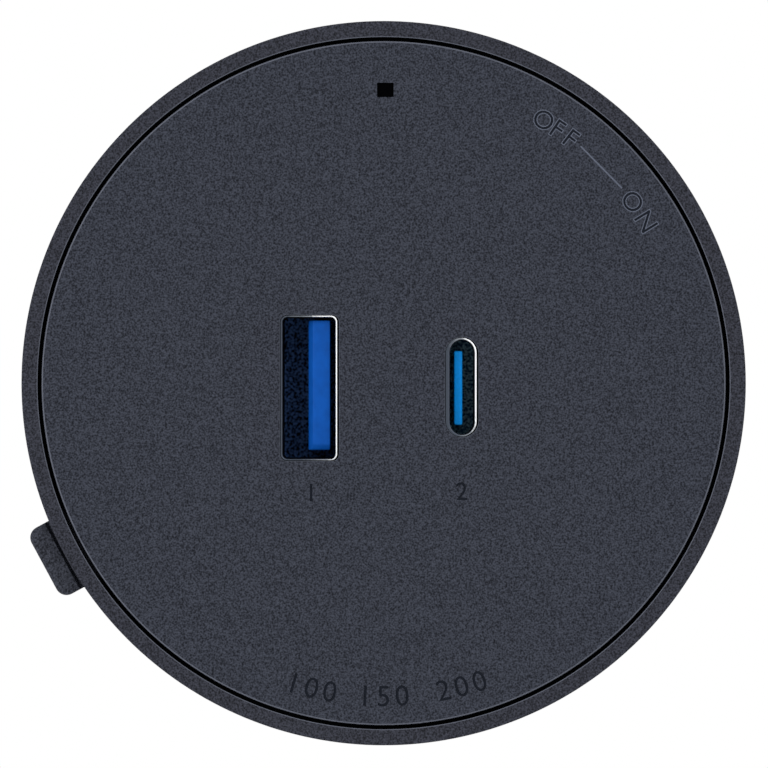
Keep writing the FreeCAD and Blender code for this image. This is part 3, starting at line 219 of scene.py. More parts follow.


# Nickel on a port's rolled lip, with a painted highlight: bright towards the right, paler at the
# top, and dull at the left and the bottom. The middle and reach are those of the port.
def makeLip(name, middle, reach):
    s = lipToneAndHighlight
    material, tree, place = startMaterial(name)
    spot = addNode(tree, "ShaderNodeSeparateXYZ", {"Vector": place}).outputs
    wear = addNode(
        tree, "ShaderNodeTexNoise",
        {"Vector": place, "Scale": 1 / (s["blotch"] * mm), "Detail": 1.0},
    )
    # The tone starts at about half with a random blotch, and the two shares below add the painted
    # highlight.
    paintedEdgeHighlight = addNode(
        tree, "ShaderNodeMapRange",
        {
            "Value": wear.outputs["Fac"], "From Min": noiseLow, "From Max": noiseHigh,
            "To Min": 0.5 - s["blotchShare"], "To Max": 0.5 + s["blotchShare"],
        },
    ).outputs["Result"]
    shares = (s["rightHighlightShare"], s["topHighlightShare"])
    for axis, centre, span, share in zip("XZ", middle, reach, shares):
        part = addNode(
            tree, "ShaderNodeMapRange",
            {
                "Value": spot[axis], "From Min": (centre - span) * mm,
                "From Max": (centre + span) * mm, "To Min": -share, "To Max": share,
            },
        )
        paintedEdgeHighlight = addNode(
            tree, "ShaderNodeMath", {0: paintedEdgeHighlight, 1: part.outputs["Result"]}, operation="ADD"
        ).outputs["Value"]
    colour = addNode(tree, "ShaderNodeValToRGB", {"Fac": paintedEdgeHighlight}, stops=s["stops"])
    shader = addNode(
        tree, "ShaderNodeBsdfPrincipled",
        {
            "Base Color": colour.outputs["Color"],
            "Metallic": 1.0,
            "Roughness": s["roughness"],
        },
    )
    finishMaterial(tree, shader)
    return material


# Circuit board: green resist over glass cloth, whose threads show as faint rows both ways.
def makeBoard(name, dark, light, threads=0.5, wander=0.6, depth=0.01, roughness=0.3, coat=0.3):
    material, tree, place = startMaterial(name)
    rows = []
    for direction in ("X", "Z"):
        wave = addNode(
            tree, "ShaderNodeTexWave",
            {
                "Vector": place, "Scale": 1 / (threads * mm) / pi,
                "Distortion": wander, "Detail": 1.0,
            },
            bands_direction=direction,
        )
        rows.append(wave.outputs["Fac"])
    weave = addNode(
        tree, "ShaderNodeMath", {0: rows[0], 1: rows[1]}, operation="MULTIPLY"
    ).outputs["Value"]
    colour = addNode(
        tree, "ShaderNodeValToRGB", {"Fac": weave}, stops=((0.0, dark), (1.0, light))
    )
    relief = addNode(
        tree, "ShaderNodeBump", {"Height": weave, "Distance": depth * mm, "Strength": 1.0}
    )
    shader = addNode(
        tree, "ShaderNodeBsdfPrincipled",
        {
            "Base Color": colour.outputs["Color"],
            "Roughness": roughness,
            "Coat Weight": coat,
            "Normal": relief.outputs["Normal"],
        },
    )
    finishMaterial(tree, shader)
    return material


finishes = {
    # ABS from spark-eroded moulds: matt, blue-grey, with an even fleck. The face, the shell and
    # the thumb pad are three mouldings and differ by a shade.
    "grained": makeGrained("absSparkGrainedAnthracite", "#15171e", "#464a56"),
    "grainedShell": makeGrained("absSparkGrainedGraphite", "#16171c", "#434550"),
    "grainedPad": makeGrained("absSparkGrainedThumbPad", "#16181e", "#484b56"),
    # The same ABS on the rounded edges, painted pale as a highlight, with a weak sheen.
    "paintedEdgeHighlight": makeMoulded("absPaintedEdgeHighlight", "#565a66", "#686c78", 0.6, 0.3, 0.004, 0.15),
    # Painted shade: smooth ABS in the groove, the openings, the button's slot and inside the
    # housing, painted close to black for the shade there, with no gloss.
    "shade": makeMoulded("absPaintedShade", "#06070a", "#0b0c10", 0.9, 0.4, 0.004, 0.05),
    # ABS cut with a fine tool: a smooth dark floor, and along the cut a pale band that is a
    # painted highlight of its edge.
    "engraved": makeMoulded("absEngravedFloor", "#161920", "#20242e", 0.85, 0.2, 0.004, 0.08),
    "engravedPaintedHighlight": makeMoulded("absEngravedPaintedHighlight", "#565c6a", "#6c7282", 0.6, 0.15, 0.004, 0.1),
    # Nickel-plated drawn steel: a painted highlight on the lips, and down the shafts a dark tone
    # that is painted shade, with marks pulled lengthwise.
    "wideLip": makeLip("steelNickelWideLip", (-6.45, -0.42), (2.575, 6.35)),
    "narrowLip": makeLip("steelNickelNarrowLip", (6.8, -0.35), (1.46, 4.36)),
    "paintedShadeShaft": makeMetal("steelNickelPaintedShade", "#191d24", "#242a33", 0.55, 0.4, 0.004, (1, 0.1, 1)),
    # Moulded PBT tongues: plain strong blues with a soft sheen.
    "blue": makeMoulded("pbtMouldedBlue", "#0b4fa6", "#0f5bbb", 0.5, 0.8, 0.004, 0.08),
    "blueBright": makeMoulded("pbtMouldedLightBlue", "#0387dc", "#0899f6", 0.45, 0.3, 0.004, 0.08),
    # The PBT blocks deep in the ports: the wide one painted dark as shade, the narrow one painted
    # pale for the light seen down its port, both with coarse flecks as painted glints of the
    # little light that gets in.
    "bluePaintedShade": makeGrained(
        "pbtBluePaintedShade", "#03081a", "#6088d0", 0.22, 0.01, 0.8, 0.04, 0.2
    ),
    "bluePaintedLight": makeGrained(
        "pbtBluePaintedLight", "#1c5888", "#b8e8ff", 0.2, 0.01, 0.8, 0.04, 0.2
    ),
    # Gold-plated copper strips: warm and fairly bright.
    "gold": makeMetal("copperGoldPlated", "#8d6a26", "#b38a3a", 0.35, 0.5, 0.002),
    # Smoked acrylic over the lamp: black while the lamp is off.
    "window": makeMoulded("acrylicSmokedBlack", "#000001", "#020204", 0.6, 1.0, 0.001, 0.01),
    # Glass-filled nylon of the base and foot: black, with fibres that roughen the skin.
    "base": makeGrained("nylonGlassFilledBlack", "#141518", "#26272b", 0.35, 0.012, 0.6, 0.3),
    # Machined acetal of the bolt and its guide: milky white and slippery smooth.
    "acetal": makeMoulded("acetalNatural", "#cfccc2", "#dedbd2", 0.35, 1.5, 0.006, 0.4),
    # Stamped brass of the blades: yellow, with drawn marks along the strip.
    "brass": makeMetal("brassStamped", "#a87f33", "#c49a48", 0.32, 0.5, 0.004, (1, 0.15, 1)),
    # Zinc-plated screws: pale grey and a little cloudy.
    "zinc": makeMetal("steelZincPlated", "#8e9299", "#b4b8bf", 0.35, 0.35, 0.004),
    # Drawn spring wire: plain grey steel with a soft shine.
    "wire": makeMetal("steelSpringWire", "#7c7f85", "#9da0a6", 0.3, 0.3, 0.003),
    # Green resist on glass cloth: a glossy skin with the weave under it.
    "board": makeBoard("epoxyGlassGreenResist", "#0c3d22", "#13522e"),
    # Moulded epoxy of the small parts: dull black with a fine tooth.
    "epoxy": makeMoulded("epoxyMouldedBlack", "#141517", "#1e1f22", 0.6, 0.25, 0.01),
    # Sintered ferrite: grainy dark grey, like fired clay.
    "ferrite": makeGrained("ferriteSintered", "#2a2b2f", "#45474c", 0.3, 0.02, 0.65, 0.3),
    # Polyester tape round the winding: clear yellow, tight and shiny.
    "tape": makeMoulded("polyesterTapeYellow", "#c89c18", "#d8b12c", 0.25, 2.0, 0.012, 0.5, 0.3),
    # Shrunk sleeve on the cans: blue-black and glossy.
    "can": makeMoulded("sleevedCapacitorCan", "#1a1f26", "#262c34", 0.3, 2.0, 0.01, 0.5, 0.2),
    # Dipped epoxy: thick blue coat with slow waves.
    "dipped": makeMoulded("epoxyDippedBlue", "#194584", "#23549a", 0.25, 1.2, 0.02, 0.5, 0.4),
    # Cast clear epoxy on the lamp's chip: pale and smooth.
    "chip": makeMoulded("ledEpoxyClear", "#d2d0c2", "#e4e2d6", 0.2, 0.4, 0.002, 0.5),
}

# The CAD nodes whose shapes stay.
nodeFinish = {
    "latch_guide": "acetal",
    "mains_board": "board",
    "usb_board": "board",
    "board_link": "epoxy",
    "board_link_pins": "gold",
    "transformer_core": "ferrite",
    "transformer_bobbin": "epoxy",
    "transformer_winding": "tape",
    "bulk_capacitors": "can",
    "output_capacitor": "can",
    "mains_choke": "ferrite",
    "fuse": "epoxy",
    "varistor": "dipped",
    "y_capacitor": "dipped",
    "bridge_rectifier": "epoxy",
    "usb_controller": "epoxy",
    "indicator_led": "chip",
    "light_pipe": "window",
}
for nodeName, finish in nodeFinish.items():
    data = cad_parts[nodeName].data
    data.materials.clear()
    data.materials.append(finishes[finish])
print("finishes on", len(nodeFinish), "CAD nodes")


# Shapes

# Angles in degrees: edges above smoothAngle are sharp in the shading, those above cornerAngle
# are corners that a round may take, and faces that meet below flatAngle are one flat face.
smoothAngle = 20
cornerAngle = 30
flatAngle = 0.5

# Two levels closer than this are the same, and cutting tools reach past a face by beyond.
near = 1e-3
beyond = 1


def makePiece(name, mesh, finishNames):
    bmesh.ops.recalc_face_normals(mesh, faces=mesh.faces)
    data = bpy.data.meshes.new(name)
    mesh.to_mesh(data)
    mesh.free()
    for finishName in finishNames:
        data.materials.append(finishes[finishName])
    data.shade_smooth()
    data.set_sharp_from_angle(angle=radians(smoothAngle))
    piece = bpy.data.objects.new(name, data)
    bpy.context.scene.collection.objects.link(piece)
    return piece


# Cuts the tool out of the piece, or joins it on, and removes the tool.
def combine(piece, tool, operation="DIFFERENCE"):
    modifier = piece.modifiers.new("combine", "BOOLEAN")
    modifier.operation = operation
    modifier.solver = "EXACT"
    modifier.object = tool
    modifier.material_mode = "TRANSFER"
    bpy.context.view_layer.update()
    shape = piece.evaluated_get(bpy.context.evaluated_depsgraph_get())
    result = bpy.data.meshes.new_from_object(shape)
    piece.modifiers.clear()
    piece.data = result
    bpy.data.objects.remove(tool)
    return piece


# Puts a finished piece in its place, on the body that it moves with and for its CAD node.
def fit(piece, nodeName, rider=body):
    piece.data.transform(onWall)
    piece.data.set_sharp_from_angle(angle=radians(smoothAngle))
    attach(piece, rider)
    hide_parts(nodeName)
    return piece


def roundOff(mesh, wanted, size, steps=3, slot=None):
    chosen = [edge for edge in mesh.edges if wanted(edge)]
    made = bmesh.ops.bevel(
        mesh, geom=chosen, offset=size, offset_type="OFFSET", affect="EDGES", segments=steps,
        profile=0.5, material=-1, clamp_overlap=True,
    )
    if slot is not None:
        for face in made["faces"]:
            face.material_index = slot


def isSharp(edge):
    return edge.is_manifold and edge.calc_face_angle(0) > radians(cornerAngle)


def isUpright(edge):
    return (edge.verts[0].co.xy - edge.verts[1].co.xy).length < near / 10


# The sharp edges at one level whose ends lie between two radii.
def atLevel(level, low=0.0, high=1e9):
    def wanted(edge):
        for vertex in edge.verts:
            if abs(vertex.co.z - level) > near or not low < vertex.co.xy.length < high:
                return False
        return isSharp(edge)
    return wanted


def boxMesh(middle, width, height, bottom, top, corner=0.0, steps=6):
    mesh = bmesh.new()
    size = Matrix.Diagonal((width, height, top - bottom, 1))
    spot = Matrix.Translation((middle[0], middle[1], (top + bottom) / 2))
    bmesh.ops.create_cube(mesh, size=1.0, matrix=spot @ size)
    if corner:
        roundOff(mesh, isUpright, corner, steps)
    return mesh


def turned(mesh, angle):
    bmesh.ops.rotate(mesh, verts=mesh.verts, matrix=Matrix.Rotation(radians(angle), 3, "Z"))
    return mesh


# Cuts away what lies beyond a plane and closes the cut.
def planeOff(mesh, point, direction):
    cut = bmesh.ops.bisect_plane(
        mesh, geom=[*mesh.verts, *mesh.edges, *mesh.faces], plane_co=point,
        plane_no=Vector(direction).normalized(), clear_outer=True,
    )
    rim = [part for part in cut["geom_cut"] if isinstance(part, bmesh.types.BMEdge)]
    bmesh.ops.holes_fill(mesh, edges=rim)
    return mesh


def raiseFaces(mesh, height):
    raised = bmesh.ops.extrude_face_region(mesh, geom=mesh.faces[:])
    upper = [part for part in raised["geom"] if isinstance(part, bmesh.types.BMVert)]
    bmesh.ops.translate(mesh, verts=upper, vec=(0, 0, height))


# A CAD node's mesh, merged and turned face up in millimetres, with its flat faces whole.
def meshOfNode(nodeName):
    mesh = bmesh.new()
    mesh.from_mesh(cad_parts[nodeName].data)
    bmesh.ops.remove_doubles(mesh, verts=mesh.verts, dist=near * mm)
    bmesh.ops.transform(mesh, matrix=offWall, verts=mesh.verts)
    bmesh.ops.dissolve_limit(
        mesh, angle_limit=radians(flatAngle), verts=mesh.verts, edges=mesh.edges
    )
    return mesh


# The face plate

facePlate = {
    "radius": 29.75,
    "front": 36.0,
    "thickness": 2.0,
    "rimRound": 0.13,
    "segments": 256,
    "openingRound": 0.07,
    "openingReach": 20,
    "cornerSteps": 10,
    "backGap": 0.01,
}
# In both ports, gap lies between the opening and the shell, and wall is the shell's own.
widePort = {
    "middle": (-6.45, -0.42),
    "width": 5.15,
    "height": 12.7,
    "corner": 0.6,
    "gap": {"left": 0.01, "right": 0.14, "end": 0.02},
    "wall": {"left": 0.22, "right": 0.16, "end": 0.16},
    "front": 35.85,
    "depth": 14.0,
    "lipRound": 0.07,
    "lip": "wideLip",
}
narrowPort = {
    "middle": (6.8, -0.35),
    "width": 2.92,
    "height": 8.72,
    "corner": 1.459,
    "gap": {"left": 0.01, "right": 0.14, "end": 0.02},
    "wall": {"left": 0.4, "right": 0.2, "end": 0.2},
    "front": 35.85,
    "depth": 14.0,
    "lipRound": 0.08,
    "lip": "narrowLip",
}
window = {"middle": (0.15, 25.5), "width": 1.44, "height": 1.24}

# Marks cut into the face. Heights are of a capital. Rows stand on their spot, and the others
# follow a circle, read from outside or from inside it.
marks = {
    "rows": [
        {"text": "1", "spot": (-6.3, -9.45), "height": 1.65},
        {"text": "2", "spot": (6.8, -9.35), "height": 1.65},
    ],
    "turn": [
        {"text": "OFF", "radius": 26.85, "first": 58.7, "step": -3.05, "height": 1.7},
        {"text": "ON", "radius": 26.85, "first": 36.1, "step": -4.5, "height": 1.7},
    ],
    "scale": [
        {"text": "100", "radius": 27.15, "first": 253.3, "step": 3.4, "height": 1.9},
        {"text": "150", "radius": 27.15, "first": 266.6, "step": 3.4, "height": 1.9},
        {"text": "200", "radius": 27.15, "first": 281.0, "step": 3.4, "height": 1.9},
    ],
    "line": {"start": (17.12, 20.61), "end": (20.73, 16.95), "width": 0.15},
    "depth": 0.07,
    "edge": 0.085,
    "edgeDepth": 0.025,
    "thin": -0.006,
    "capShare": 0.73,
    "curveSteps": 4,
    "mergeDistance": 1e-4,
    "straightAngle": 1,
}


# A letter as a solid that reaches from the floor of its cut up past the face.
def glyphTool(name, text, height, grow, bottom, finishName, place):
    s = marks
    curve = bpy.data.curves.new(name, "FONT")
    curve.body = text
    curve.align_x = "CENTER"
    curve.size = height / s["capShare"]
    curve.offset = s["thin"] * height + grow
    curve.resolution_u = s["curveSteps"]
    letter = bpy.data.objects.new(name, curve)
    bpy.context.scene.collection.objects.link(letter)
    bpy.context.view_layer.update()
    shape = letter.evaluated_get(bpy.context.evaluated_depsgraph_get())
    mesh = bmesh.new()
    mesh.from_mesh(bpy.data.meshes.new_from_object(shape))
    bpy.data.objects.remove(letter)
    bmesh.ops.remove_doubles(mesh, verts=mesh.verts, dist=s["mergeDistance"])
    bmesh.ops.dissolve_limit(
        mesh, angle_limit=radians(s["straightAngle"]), verts=mesh.verts, edges=mesh.edges
    )
    bmesh.ops.translate(mesh, verts=mesh.verts, vec=(0, -height / 2, bottom))
    raiseFaces(mesh, facePlate["front"] + beyond - bottom)
    bmesh.ops.transform(mesh, matrix=place, verts=mesh.verts)
    return makePiece(name, mesh, [finishName])


def arcPlaces(arc, inward):
    places = []
    for index, letter in enumerate(arc["text"]):
        angle = radians(arc["first"] + index * arc["step"])
        spot = Matrix.Translation((arc["radius"] * cos(angle), arc["radius"] * sin(angle), 0))
        turn = Matrix.Rotation(angle + (pi / 2 if inward else -pi / 2), 4, "Z")
        places.append((letter, arc["height"], spot @ turn))
    return places


def cutMarks(plate):
    front = facePlate["front"]
    outline, floor = front - marks["edgeDepth"], front - marks["depth"]
    plain = []
    for row in marks["rows"]:
        plain.append((row["text"], row["height"], Matrix.Translation((*row["spot"], 0))))
    for arc in marks["scale"]:
        plain += arcPlaces(arc, True)
    outlined = [spot for arc in marks["turn"] for spot in arcPlaces(arc, False)]
    # The turn marks get a wider, shallow cut first, whose pale floor is a painted highlight round
    # each letter.
    for index, (text, height, place) in enumerate(outlined):
        name = f"edge{index}"
        tool = glyphTool(name, text, height, marks["edge"], outline, "engravedPaintedHighlight", place)
        combine(plate, tool)
    for index, (text, height, place) in enumerate(plain + outlined):
        combine(plate, glyphTool(f"core{index}", text, height, 0, floor, "engraved", place))
    # The turn line is one shallow cut, pale all over as a painted highlight.
    line = marks["line"]
    first, last = Vector(line["start"]), Vector(line["end"])
    stroke = boxMesh((0, 0), (last - first).length, line["width"], outline, front + beyond)
    heading = (last - first).angle_signed(Vector((1, 0)))
    bmesh.ops.transform(
        stroke, verts=stroke.verts,
        matrix=Matrix.Translation((*(first + last) / 2, 0)) @ Matrix.Rotation(heading, 4, "Z"),
    )
    combine(plate, makePiece("turnLine", stroke, ["engravedPaintedHighlight"]))
    return plate


def makeFacePlate():
    s = facePlate
    back, above = s["front"] - s["thickness"], s["front"] + beyond
    mesh = bmesh.new()
    bmesh.ops.create_circle(
        mesh, cap_ends=True, radius=s["radius"], segments=s["segments"],
        matrix=Matrix.Translation((0, 0, back)),
    )
    raiseFaces(mesh, s["thickness"])
    # The plate's side faces, down in the groove, take painted shade.
    for face in mesh.faces:
        if len(face.verts) == 4:
            face.material_index = 2
    # The front rim is rounded and takes a painted highlight.
    roundOff(mesh, atLevel(s["front"]), s["rimRound"], 2, 1)
    plate = makePiece("facePlate", mesh, ["grained", "paintedEdgeHighlight", "shade"])
    # The openings' walls take painted shade from their cutters.
    for port in (widePort, narrowPort):
        hole = boxMesh(
            port["middle"], port["width"], port["height"], back - beyond, above,
            port["corner"], s["cornerSteps"],
        )
        combine(plate, makePiece("portHole", hole, ["shade"]))
    hole = boxMesh(window["middle"], window["width"], window["height"], back - beyond, above)
    combine(plate, makePiece("windowHole", hole, ["shade"]))

    # The edges of the three openings are rounded too, and take the painted highlight.
    mesh = bmesh.new()
    mesh.from_mesh(plate.data)
    roundOff(mesh, atLevel(s["front"], 0, s["openingReach"]), s["openingRound"], 2, 1)
    mesh.to_mesh(plate.data)
    mesh.free()
    plate.data.shade_smooth()
    return cutMarks(plate)


# The posts and hooks behind the plate come from the CAD cover, cut off at the plate's back.
def makeCoverBack():
    level = facePlate["front"] - facePlate["thickness"] - facePlate["backGap"]
    cover = planeOff(meshOfNode("front_cover"), (0, 0, level), (0, 0, 1))
    return makePiece("coverBack", cover, ["base"])


plate = fit(makeFacePlate(), "front_cover")
fit(makeCoverBack(), "front_cover")
print("face plate:", len(plate.data.polygons), "faces")


# The housing

housing = {
    "outer": 31.5,
    "ringInner": 30.1,
    "ledgeInner": 28.4,
    "wallInner": 29.6,
    "front": 36.0,
    "ledgeTop": 34.0,
    "ledgeBottom": 32.4,
    "rear": 0.3,
    "rearChamfer": 1.0,
    "outerRound": 0.12,
    "innerRound": 0.07,
    "rearRound": 0.3,
    "segments": 256,
    "inside": 0.1,
}
# Blocks inside the housing for the screws of the rear plate.
screwBlocks = {
    "angles": (30, 150, 270),
    "inner": 23.7,
    "overlap": 0.3,
    "width": 5.4,
    "low": 2.15,
    "high": 16.15,
    "corner": 0.4,
}
button = {
    "angle": 208.3,
    "width": 6.57,
    "rear": 18.0,
    "clearance": 0.15,
    "front": 33.85,
    "neckInner": 31.1,
    "neckOuter": 31.95,
    "neckDepth": 0.5,
    "neckSlope": 0.3,
}


# The section is spun round the axis, and the blocks and the button's slot follow.
def makeHousing():
    s = housing
    outline = [
        (s["ringInner"], s["front"]),
        (s["ringInner"], s["ledgeTop"]),
        (s["ledgeInner"], s["ledgeTop"]),
        (s["ledgeInner"], s["ledgeBottom"]),
        (s["wallInner"], s["ledgeBottom"]),
        (s["wallInner"], s["rear"]),
        (s["outer"] - s["rearChamfer"], s["rear"]),
        (s["outer"], s["rear"] + s["rearChamfer"]),
        (s["outer"], s["front"]),
    ]
    mesh = bmesh.new()
    corners = [mesh.verts.new((radius, 0, level)) for radius, level in outline]
    sides = [mesh.edges.new(pair) for pair in zip(corners, corners[1:] + corners[:1])]
    bmesh.ops.spin(
        mesh, geom=corners + sides, cent=(0, 0, 0), axis=(0, 0, 1), angle=2 * pi,
        steps=s["segments"], use_merge=True,
    )
    bmesh.ops.remove_doubles(mesh, verts=mesh.verts, dist=near / 10)
    inner, low = s["ringInner"] + s["inside"], s["rear"] + s["inside"]
    # Faces inside the ring and above the rear take painted shade.
    for face in mesh.faces:
        spot = face.calc_center_median()
        if spot.xy.length < inner and spot.z > low:
            face.material_index = 1
    middle = (s["outer"] + s["ringInner"]) / 2
    roundOff(mesh, atLevel(s["front"], middle), s["outerRound"], 2, 0)
    # The ring's inner round takes a painted highlight.
    roundOff(mesh, atLevel(s["front"], 0, middle), s["innerRound"], 2, 2)
    roundOff(mesh, atLevel(s["rear"] + s["rearChamfer"], middle), s["rearRound"], 2)
    shell = makePiece("housingShell", mesh, ["grainedShell", "shade", "paintedEdgeHighlight"])
    b = screwBlocks
    for angle in b["angles"]:
        reach = s["wallInner"] + b["overlap"]
        block = boxMesh(
            ((b["inner"] + reach) / 2, 0), reach - b["inner"], b["width"], b["low"], b["high"],
            b["corner"], 3,
        )
        combine(shell, makePiece("screwBlock", turned(block, angle), ["grainedShell"]), "UNION")
    # The button's slot takes painted shade on its walls.
    gap = button["clearance"]
    slot = boxMesh(
        ((s["outer"] + s["ledgeInner"]) / 2, 0), s["outer"] - s["ledgeInner"] + 4 * beyond,
        button["width"] + 2 * gap, button["rear"] - gap, s["ledgeTop"],
    )
    return combine(shell, makePiece("buttonSlot", turned(slot, button["angle"]), ["shade"]))


shell = fit(makeHousing(), "housing")
print("housing:", len(shell.data.polygons), "faces")


# The ports

portShell = {"cornerSteps": 12, "cornerEase": 0.02, "lipTilt": 0.05}


# The plan of a port's shell or bore: its middle, width and height inside the given margins.
def portPlan(port, left, right, end):
    x, y = port["middle"]
    middle = (x + (left - right) / 2, y)
    return middle, port["width"] - left - right, port["height"] - 2 * end


def boreMargins(port, more=0.0):
    return [port["gap"][side] + port["wall"][side] + more for side in ("left", "right", "end")]


# A drawn tube: both ends are inset by the wall, the bore is bridged and the front edges rolled.
def makePortShell(name, port):
    s = portShell
    front, rear, wall = port["front"], port["front"] - port["depth"], port["wall"]["end"]
    middle, width, height = portPlan(port, *port["gap"].values())
    corner = min(port["corner"], width / 2 - s["cornerEase"])
    mesh = boxMesh(middle, width, height, rear, front, corner, s["cornerSteps"])
    caps = [face for face in mesh.faces if len(face.verts) > 4]
    for cap in caps:
        bmesh.ops.inset_region(mesh, faces=[cap], thickness=wall, use_even_offset=True)
    boreMiddle, boreWidth = portPlan(port, *boreMargins(port))[:2]
    stretch = boreWidth / (width - 2 * wall)
    for vertex in {vertex for cap in caps for vertex in cap.verts}:
        vertex.co.x = boreMiddle[0] + (vertex.co.x - middle[0]) * stretch
    bmesh.ops.delete(mesh, geom=caps, context="FACES_ONLY")
    bmesh.ops.bridge_loops(mesh, edges=[edge for edge in mesh.edges if edge.is_boundary])
    bmesh.ops.recalc_face_normals(mesh, faces=mesh.faces)
    roundOff(mesh, atLevel(front), port["lipRound"])
    lipBottom = front - 2 * port["lipRound"]
    # The front-facing faces of the rolled lip take the lip's painted highlight.
    for face in mesh.faces:
        if face.normal.z > s["lipTilt"] and face.calc_center_median().z > lipBottom:
            face.material_index = 1
    return makePiece(name, mesh, ["paintedShadeShaft", port["lip"]])


fit(makePortShell("wideShell", widePort), "usb_a_shell")
fit(makePortShell("narrowShell", narrowPort), "usb_c_shell")

# The wide tongue slopes off towards its contacts and its lower end: width and depth of each slope.
wideTongue = {
    "middle": (-5.6, -0.18),
    "width": 1.9,
    "height": 11.3,
    "front": 34.9,
    "blockFront": 25.35,
    "rear": 21.85,
    "sideSlope": (0.42, 0.6),
    "endSlope": (0.5, 0.3),
    "cornerRound": 0.12,
}
narrowTongue = {
    "middle": (6.5, -0.42),
    "width": 0.74,
    "height": 6.46,
    "front": 34.8,
    "blockFront": 26.85,
    "rear": 21.85,
    "cornerRound": 0.14,
}
portBlock = {"clearance": 0.02, "overlap": 0.5, "corner": 0.2, "steps": 4}


# A thin tongue on the insulating block that fills the bottom of its port.
def makeTongue(name, tongue, port, finishName, blockFinish):
    s, b = tongue, portBlock
    low = s["blockFront"] - b["overlap"]
    blade = boxMesh(s["middle"], s["width"], s["height"], low, s["front"])
    if "sideSlope" in s:
        left = s["middle"][0] - s["width"] / 2
        lower = s["middle"][1] - s["height"] / 2
        width, depth = s["sideSlope"]
        planeOff(blade, (left + width, 0, s["front"]), (-depth, 0, width))
        width, depth = s["endSlope"]
        planeOff(blade, (0, lower + width, s["front"]), (0, -depth, width))
    roundOff(blade, isSharp, s["cornerRound"])
    piece = makePiece(name, blade, [finishName])
    middle, width, height = portPlan(port, *boreMargins(port, b["clearance"]))
    block = boxMesh(
        middle, width, height, s["rear"], s["blockFront"], b["corner"], b["steps"]
    )
    return combine(piece, makePiece("block", block, [blockFinish]), "UNION")


wideBlade = makeTongue("wideTongue", wideTongue, widePort, "blue", "bluePaintedShade")
narrowBlade = makeTongue("narrowTongue", narrowTongue, narrowPort, "blueBright", "bluePaintedLight")
fit(wideBlade, "usb_a_tongue")
fit(narrowBlade, "usb_c_tongue")

# Contact strips, sunk almost flush into the sides of their tongues: -1 is left and 1 right.
wideStrips = {
    "offsets": (-3.5, -1.0, 1.0, 3.5),
    "sides": (-1,),
    "width": 1.0,
    "thickness": 0.05,
    "proud": 0.008,
    "low": 25.4,
    "high": 33.6,
}
narrowStrips = {
    "offsets": [(index - 5.5) * 0.5 for index in range(12)],
    "sides": (-1, 1),
    "width": 0.25,
    "thickness": 0.03,
    "proud": 0.006,
    "low": 26.9,
    "high": 33.9,
}


def addStrips(name, nodeName, tongue, strips):
    mesh = bmesh.new()
    s = strips
    for offset in s["offsets"]:
        for side in s["sides"]:
            reach = tongue["width"] / 2 + s["proud"] - s["thickness"] / 2
            x = tongue["middle"][0] + side * reach
            size = Matrix.Diagonal((s["thickness"], s["width"], s["high"] - s["low"], 1))
            level = (s["high"] + s["low"]) / 2
            spot = Matrix.Translation((x, tongue["middle"][1] + offset, level))
            bmesh.ops.create_cube(mesh, size=1.0, matrix=spot @ size)
    roundOff(mesh, isSharp, s["thickness"] / 4, 2)
    fit(makePiece(name, mesh, ["gold"]), nodeName)


addStrips("wideStrips", "usb_a_contacts", wideTongue, wideStrips)
addStrips("narrowStrips", "usb_c_contacts", narrowTongue, narrowStrips)
print("ports done")


# The thumb button, the foot and the other pieces that show at the rim and the back

# For each node: the piece, its finish, slot and body, and the size of the round on its edges.
softened = {
    "release_button": ("thumbButton", "grainedPad", "button_plastic", "button", 0.16),
    "rear_base": ("rearPlate", "base", "base_plastic", body, 0.14),
    "track_foot": ("footNeck", "base", "foot_plastic", body, 0.15),
    "foot_cap": ("footCap", "base", "foot_plastic", body, 0.15),
    "latch_bolt": ("latchPin", "acetal", "bolt_plastic", "bolt", 0.12),
    "live_contact": ("liveBlade", "brass", "contact_brass", body, 0.1),
    "neutral_contact": ("neutralBlade", "brass", "contact_brass", body, 0.1),
    "earth_contact": ("earthBlade", "brass", "contact_brass", body, 0.1),
    "rear_screws": ("rearScrews", "zinc", "screw_steel", body, 0.09),
    "foot_cap_screw": ("capScrew", "zinc", "screw_steel", body, 0.09),
}

# The foot cap's flat faces are cut between their holes first, as a bevel folds a face with holes.
capCut = 0.15


# Of the button, only the pad's edges are softened, as the rest is thin and out of sight.
def isPadEdge(edge):
    return isSharp(edge) and max(v.co.xy.length for v in edge.verts) > housing["outer"]


# A neck sunk into the thumb pad beside the ring, which lies in the ring's shade.
def cutNeck(piece):
    s = button
    neck = boxMesh(
        ((s["neckInner"] + s["neckOuter"]) / 2, 0), s["neckOuter"] - s["neckInner"],
        s["width"] + 2 * beyond, s["front"] - s["neckDepth"], s["front"] + s["clearance"],
    )
    low = [v for v in neck.verts if v.co.x > housing["outer"] and v.co.z < s["front"]]
    bmesh.ops.translate(neck, verts=low, vec=(-s["neckSlope"], 0, 0))
    return combine(piece, makePiece("neck", turned(neck, s["angle"]), ["grainedPad"]))


for nodeName, (name, finish, slotName, rider, size) in softened.items():
    mesh = meshOfNode(nodeName)
    if nodeName == "foot_cap":
        bmesh.ops.bisect_plane(
            mesh, geom=[*mesh.verts, *mesh.edges, *mesh.faces], plane_co=(0, capCut, 0),
            plane_no=(0, 1, 0),
        )
    roundOff(mesh, isPadEdge if nodeName == "release_button" else isSharp, size, 2)
    piece = makePiece(name, mesh, [finish])
    if nodeName == "release_button":
        cutNeck(piece)
    fit(piece, nodeName, rider)
print("softened copies:", len(softened))


# The two springs, wound shut for a turn at both ends.
buttonSpring = {
    "radius": 1.9,
    "wire": 0.5,
    "length": 8.0,
    "turns": 5,
    "start": 10.0,
    "level": 4.6,
    "travel": 1.8,
}
boltSpring = {
    "radius": 1.9,
    "wire": 0.5,
    "length": 6.2,
    "turns": 4,
    "spot": (-18.5, 0.0),
    "level": 8.0,
    "travel": 2.6,
}
winding = {"around": 20, "stepsPerTurn": 24, "shutGap": 0.02}


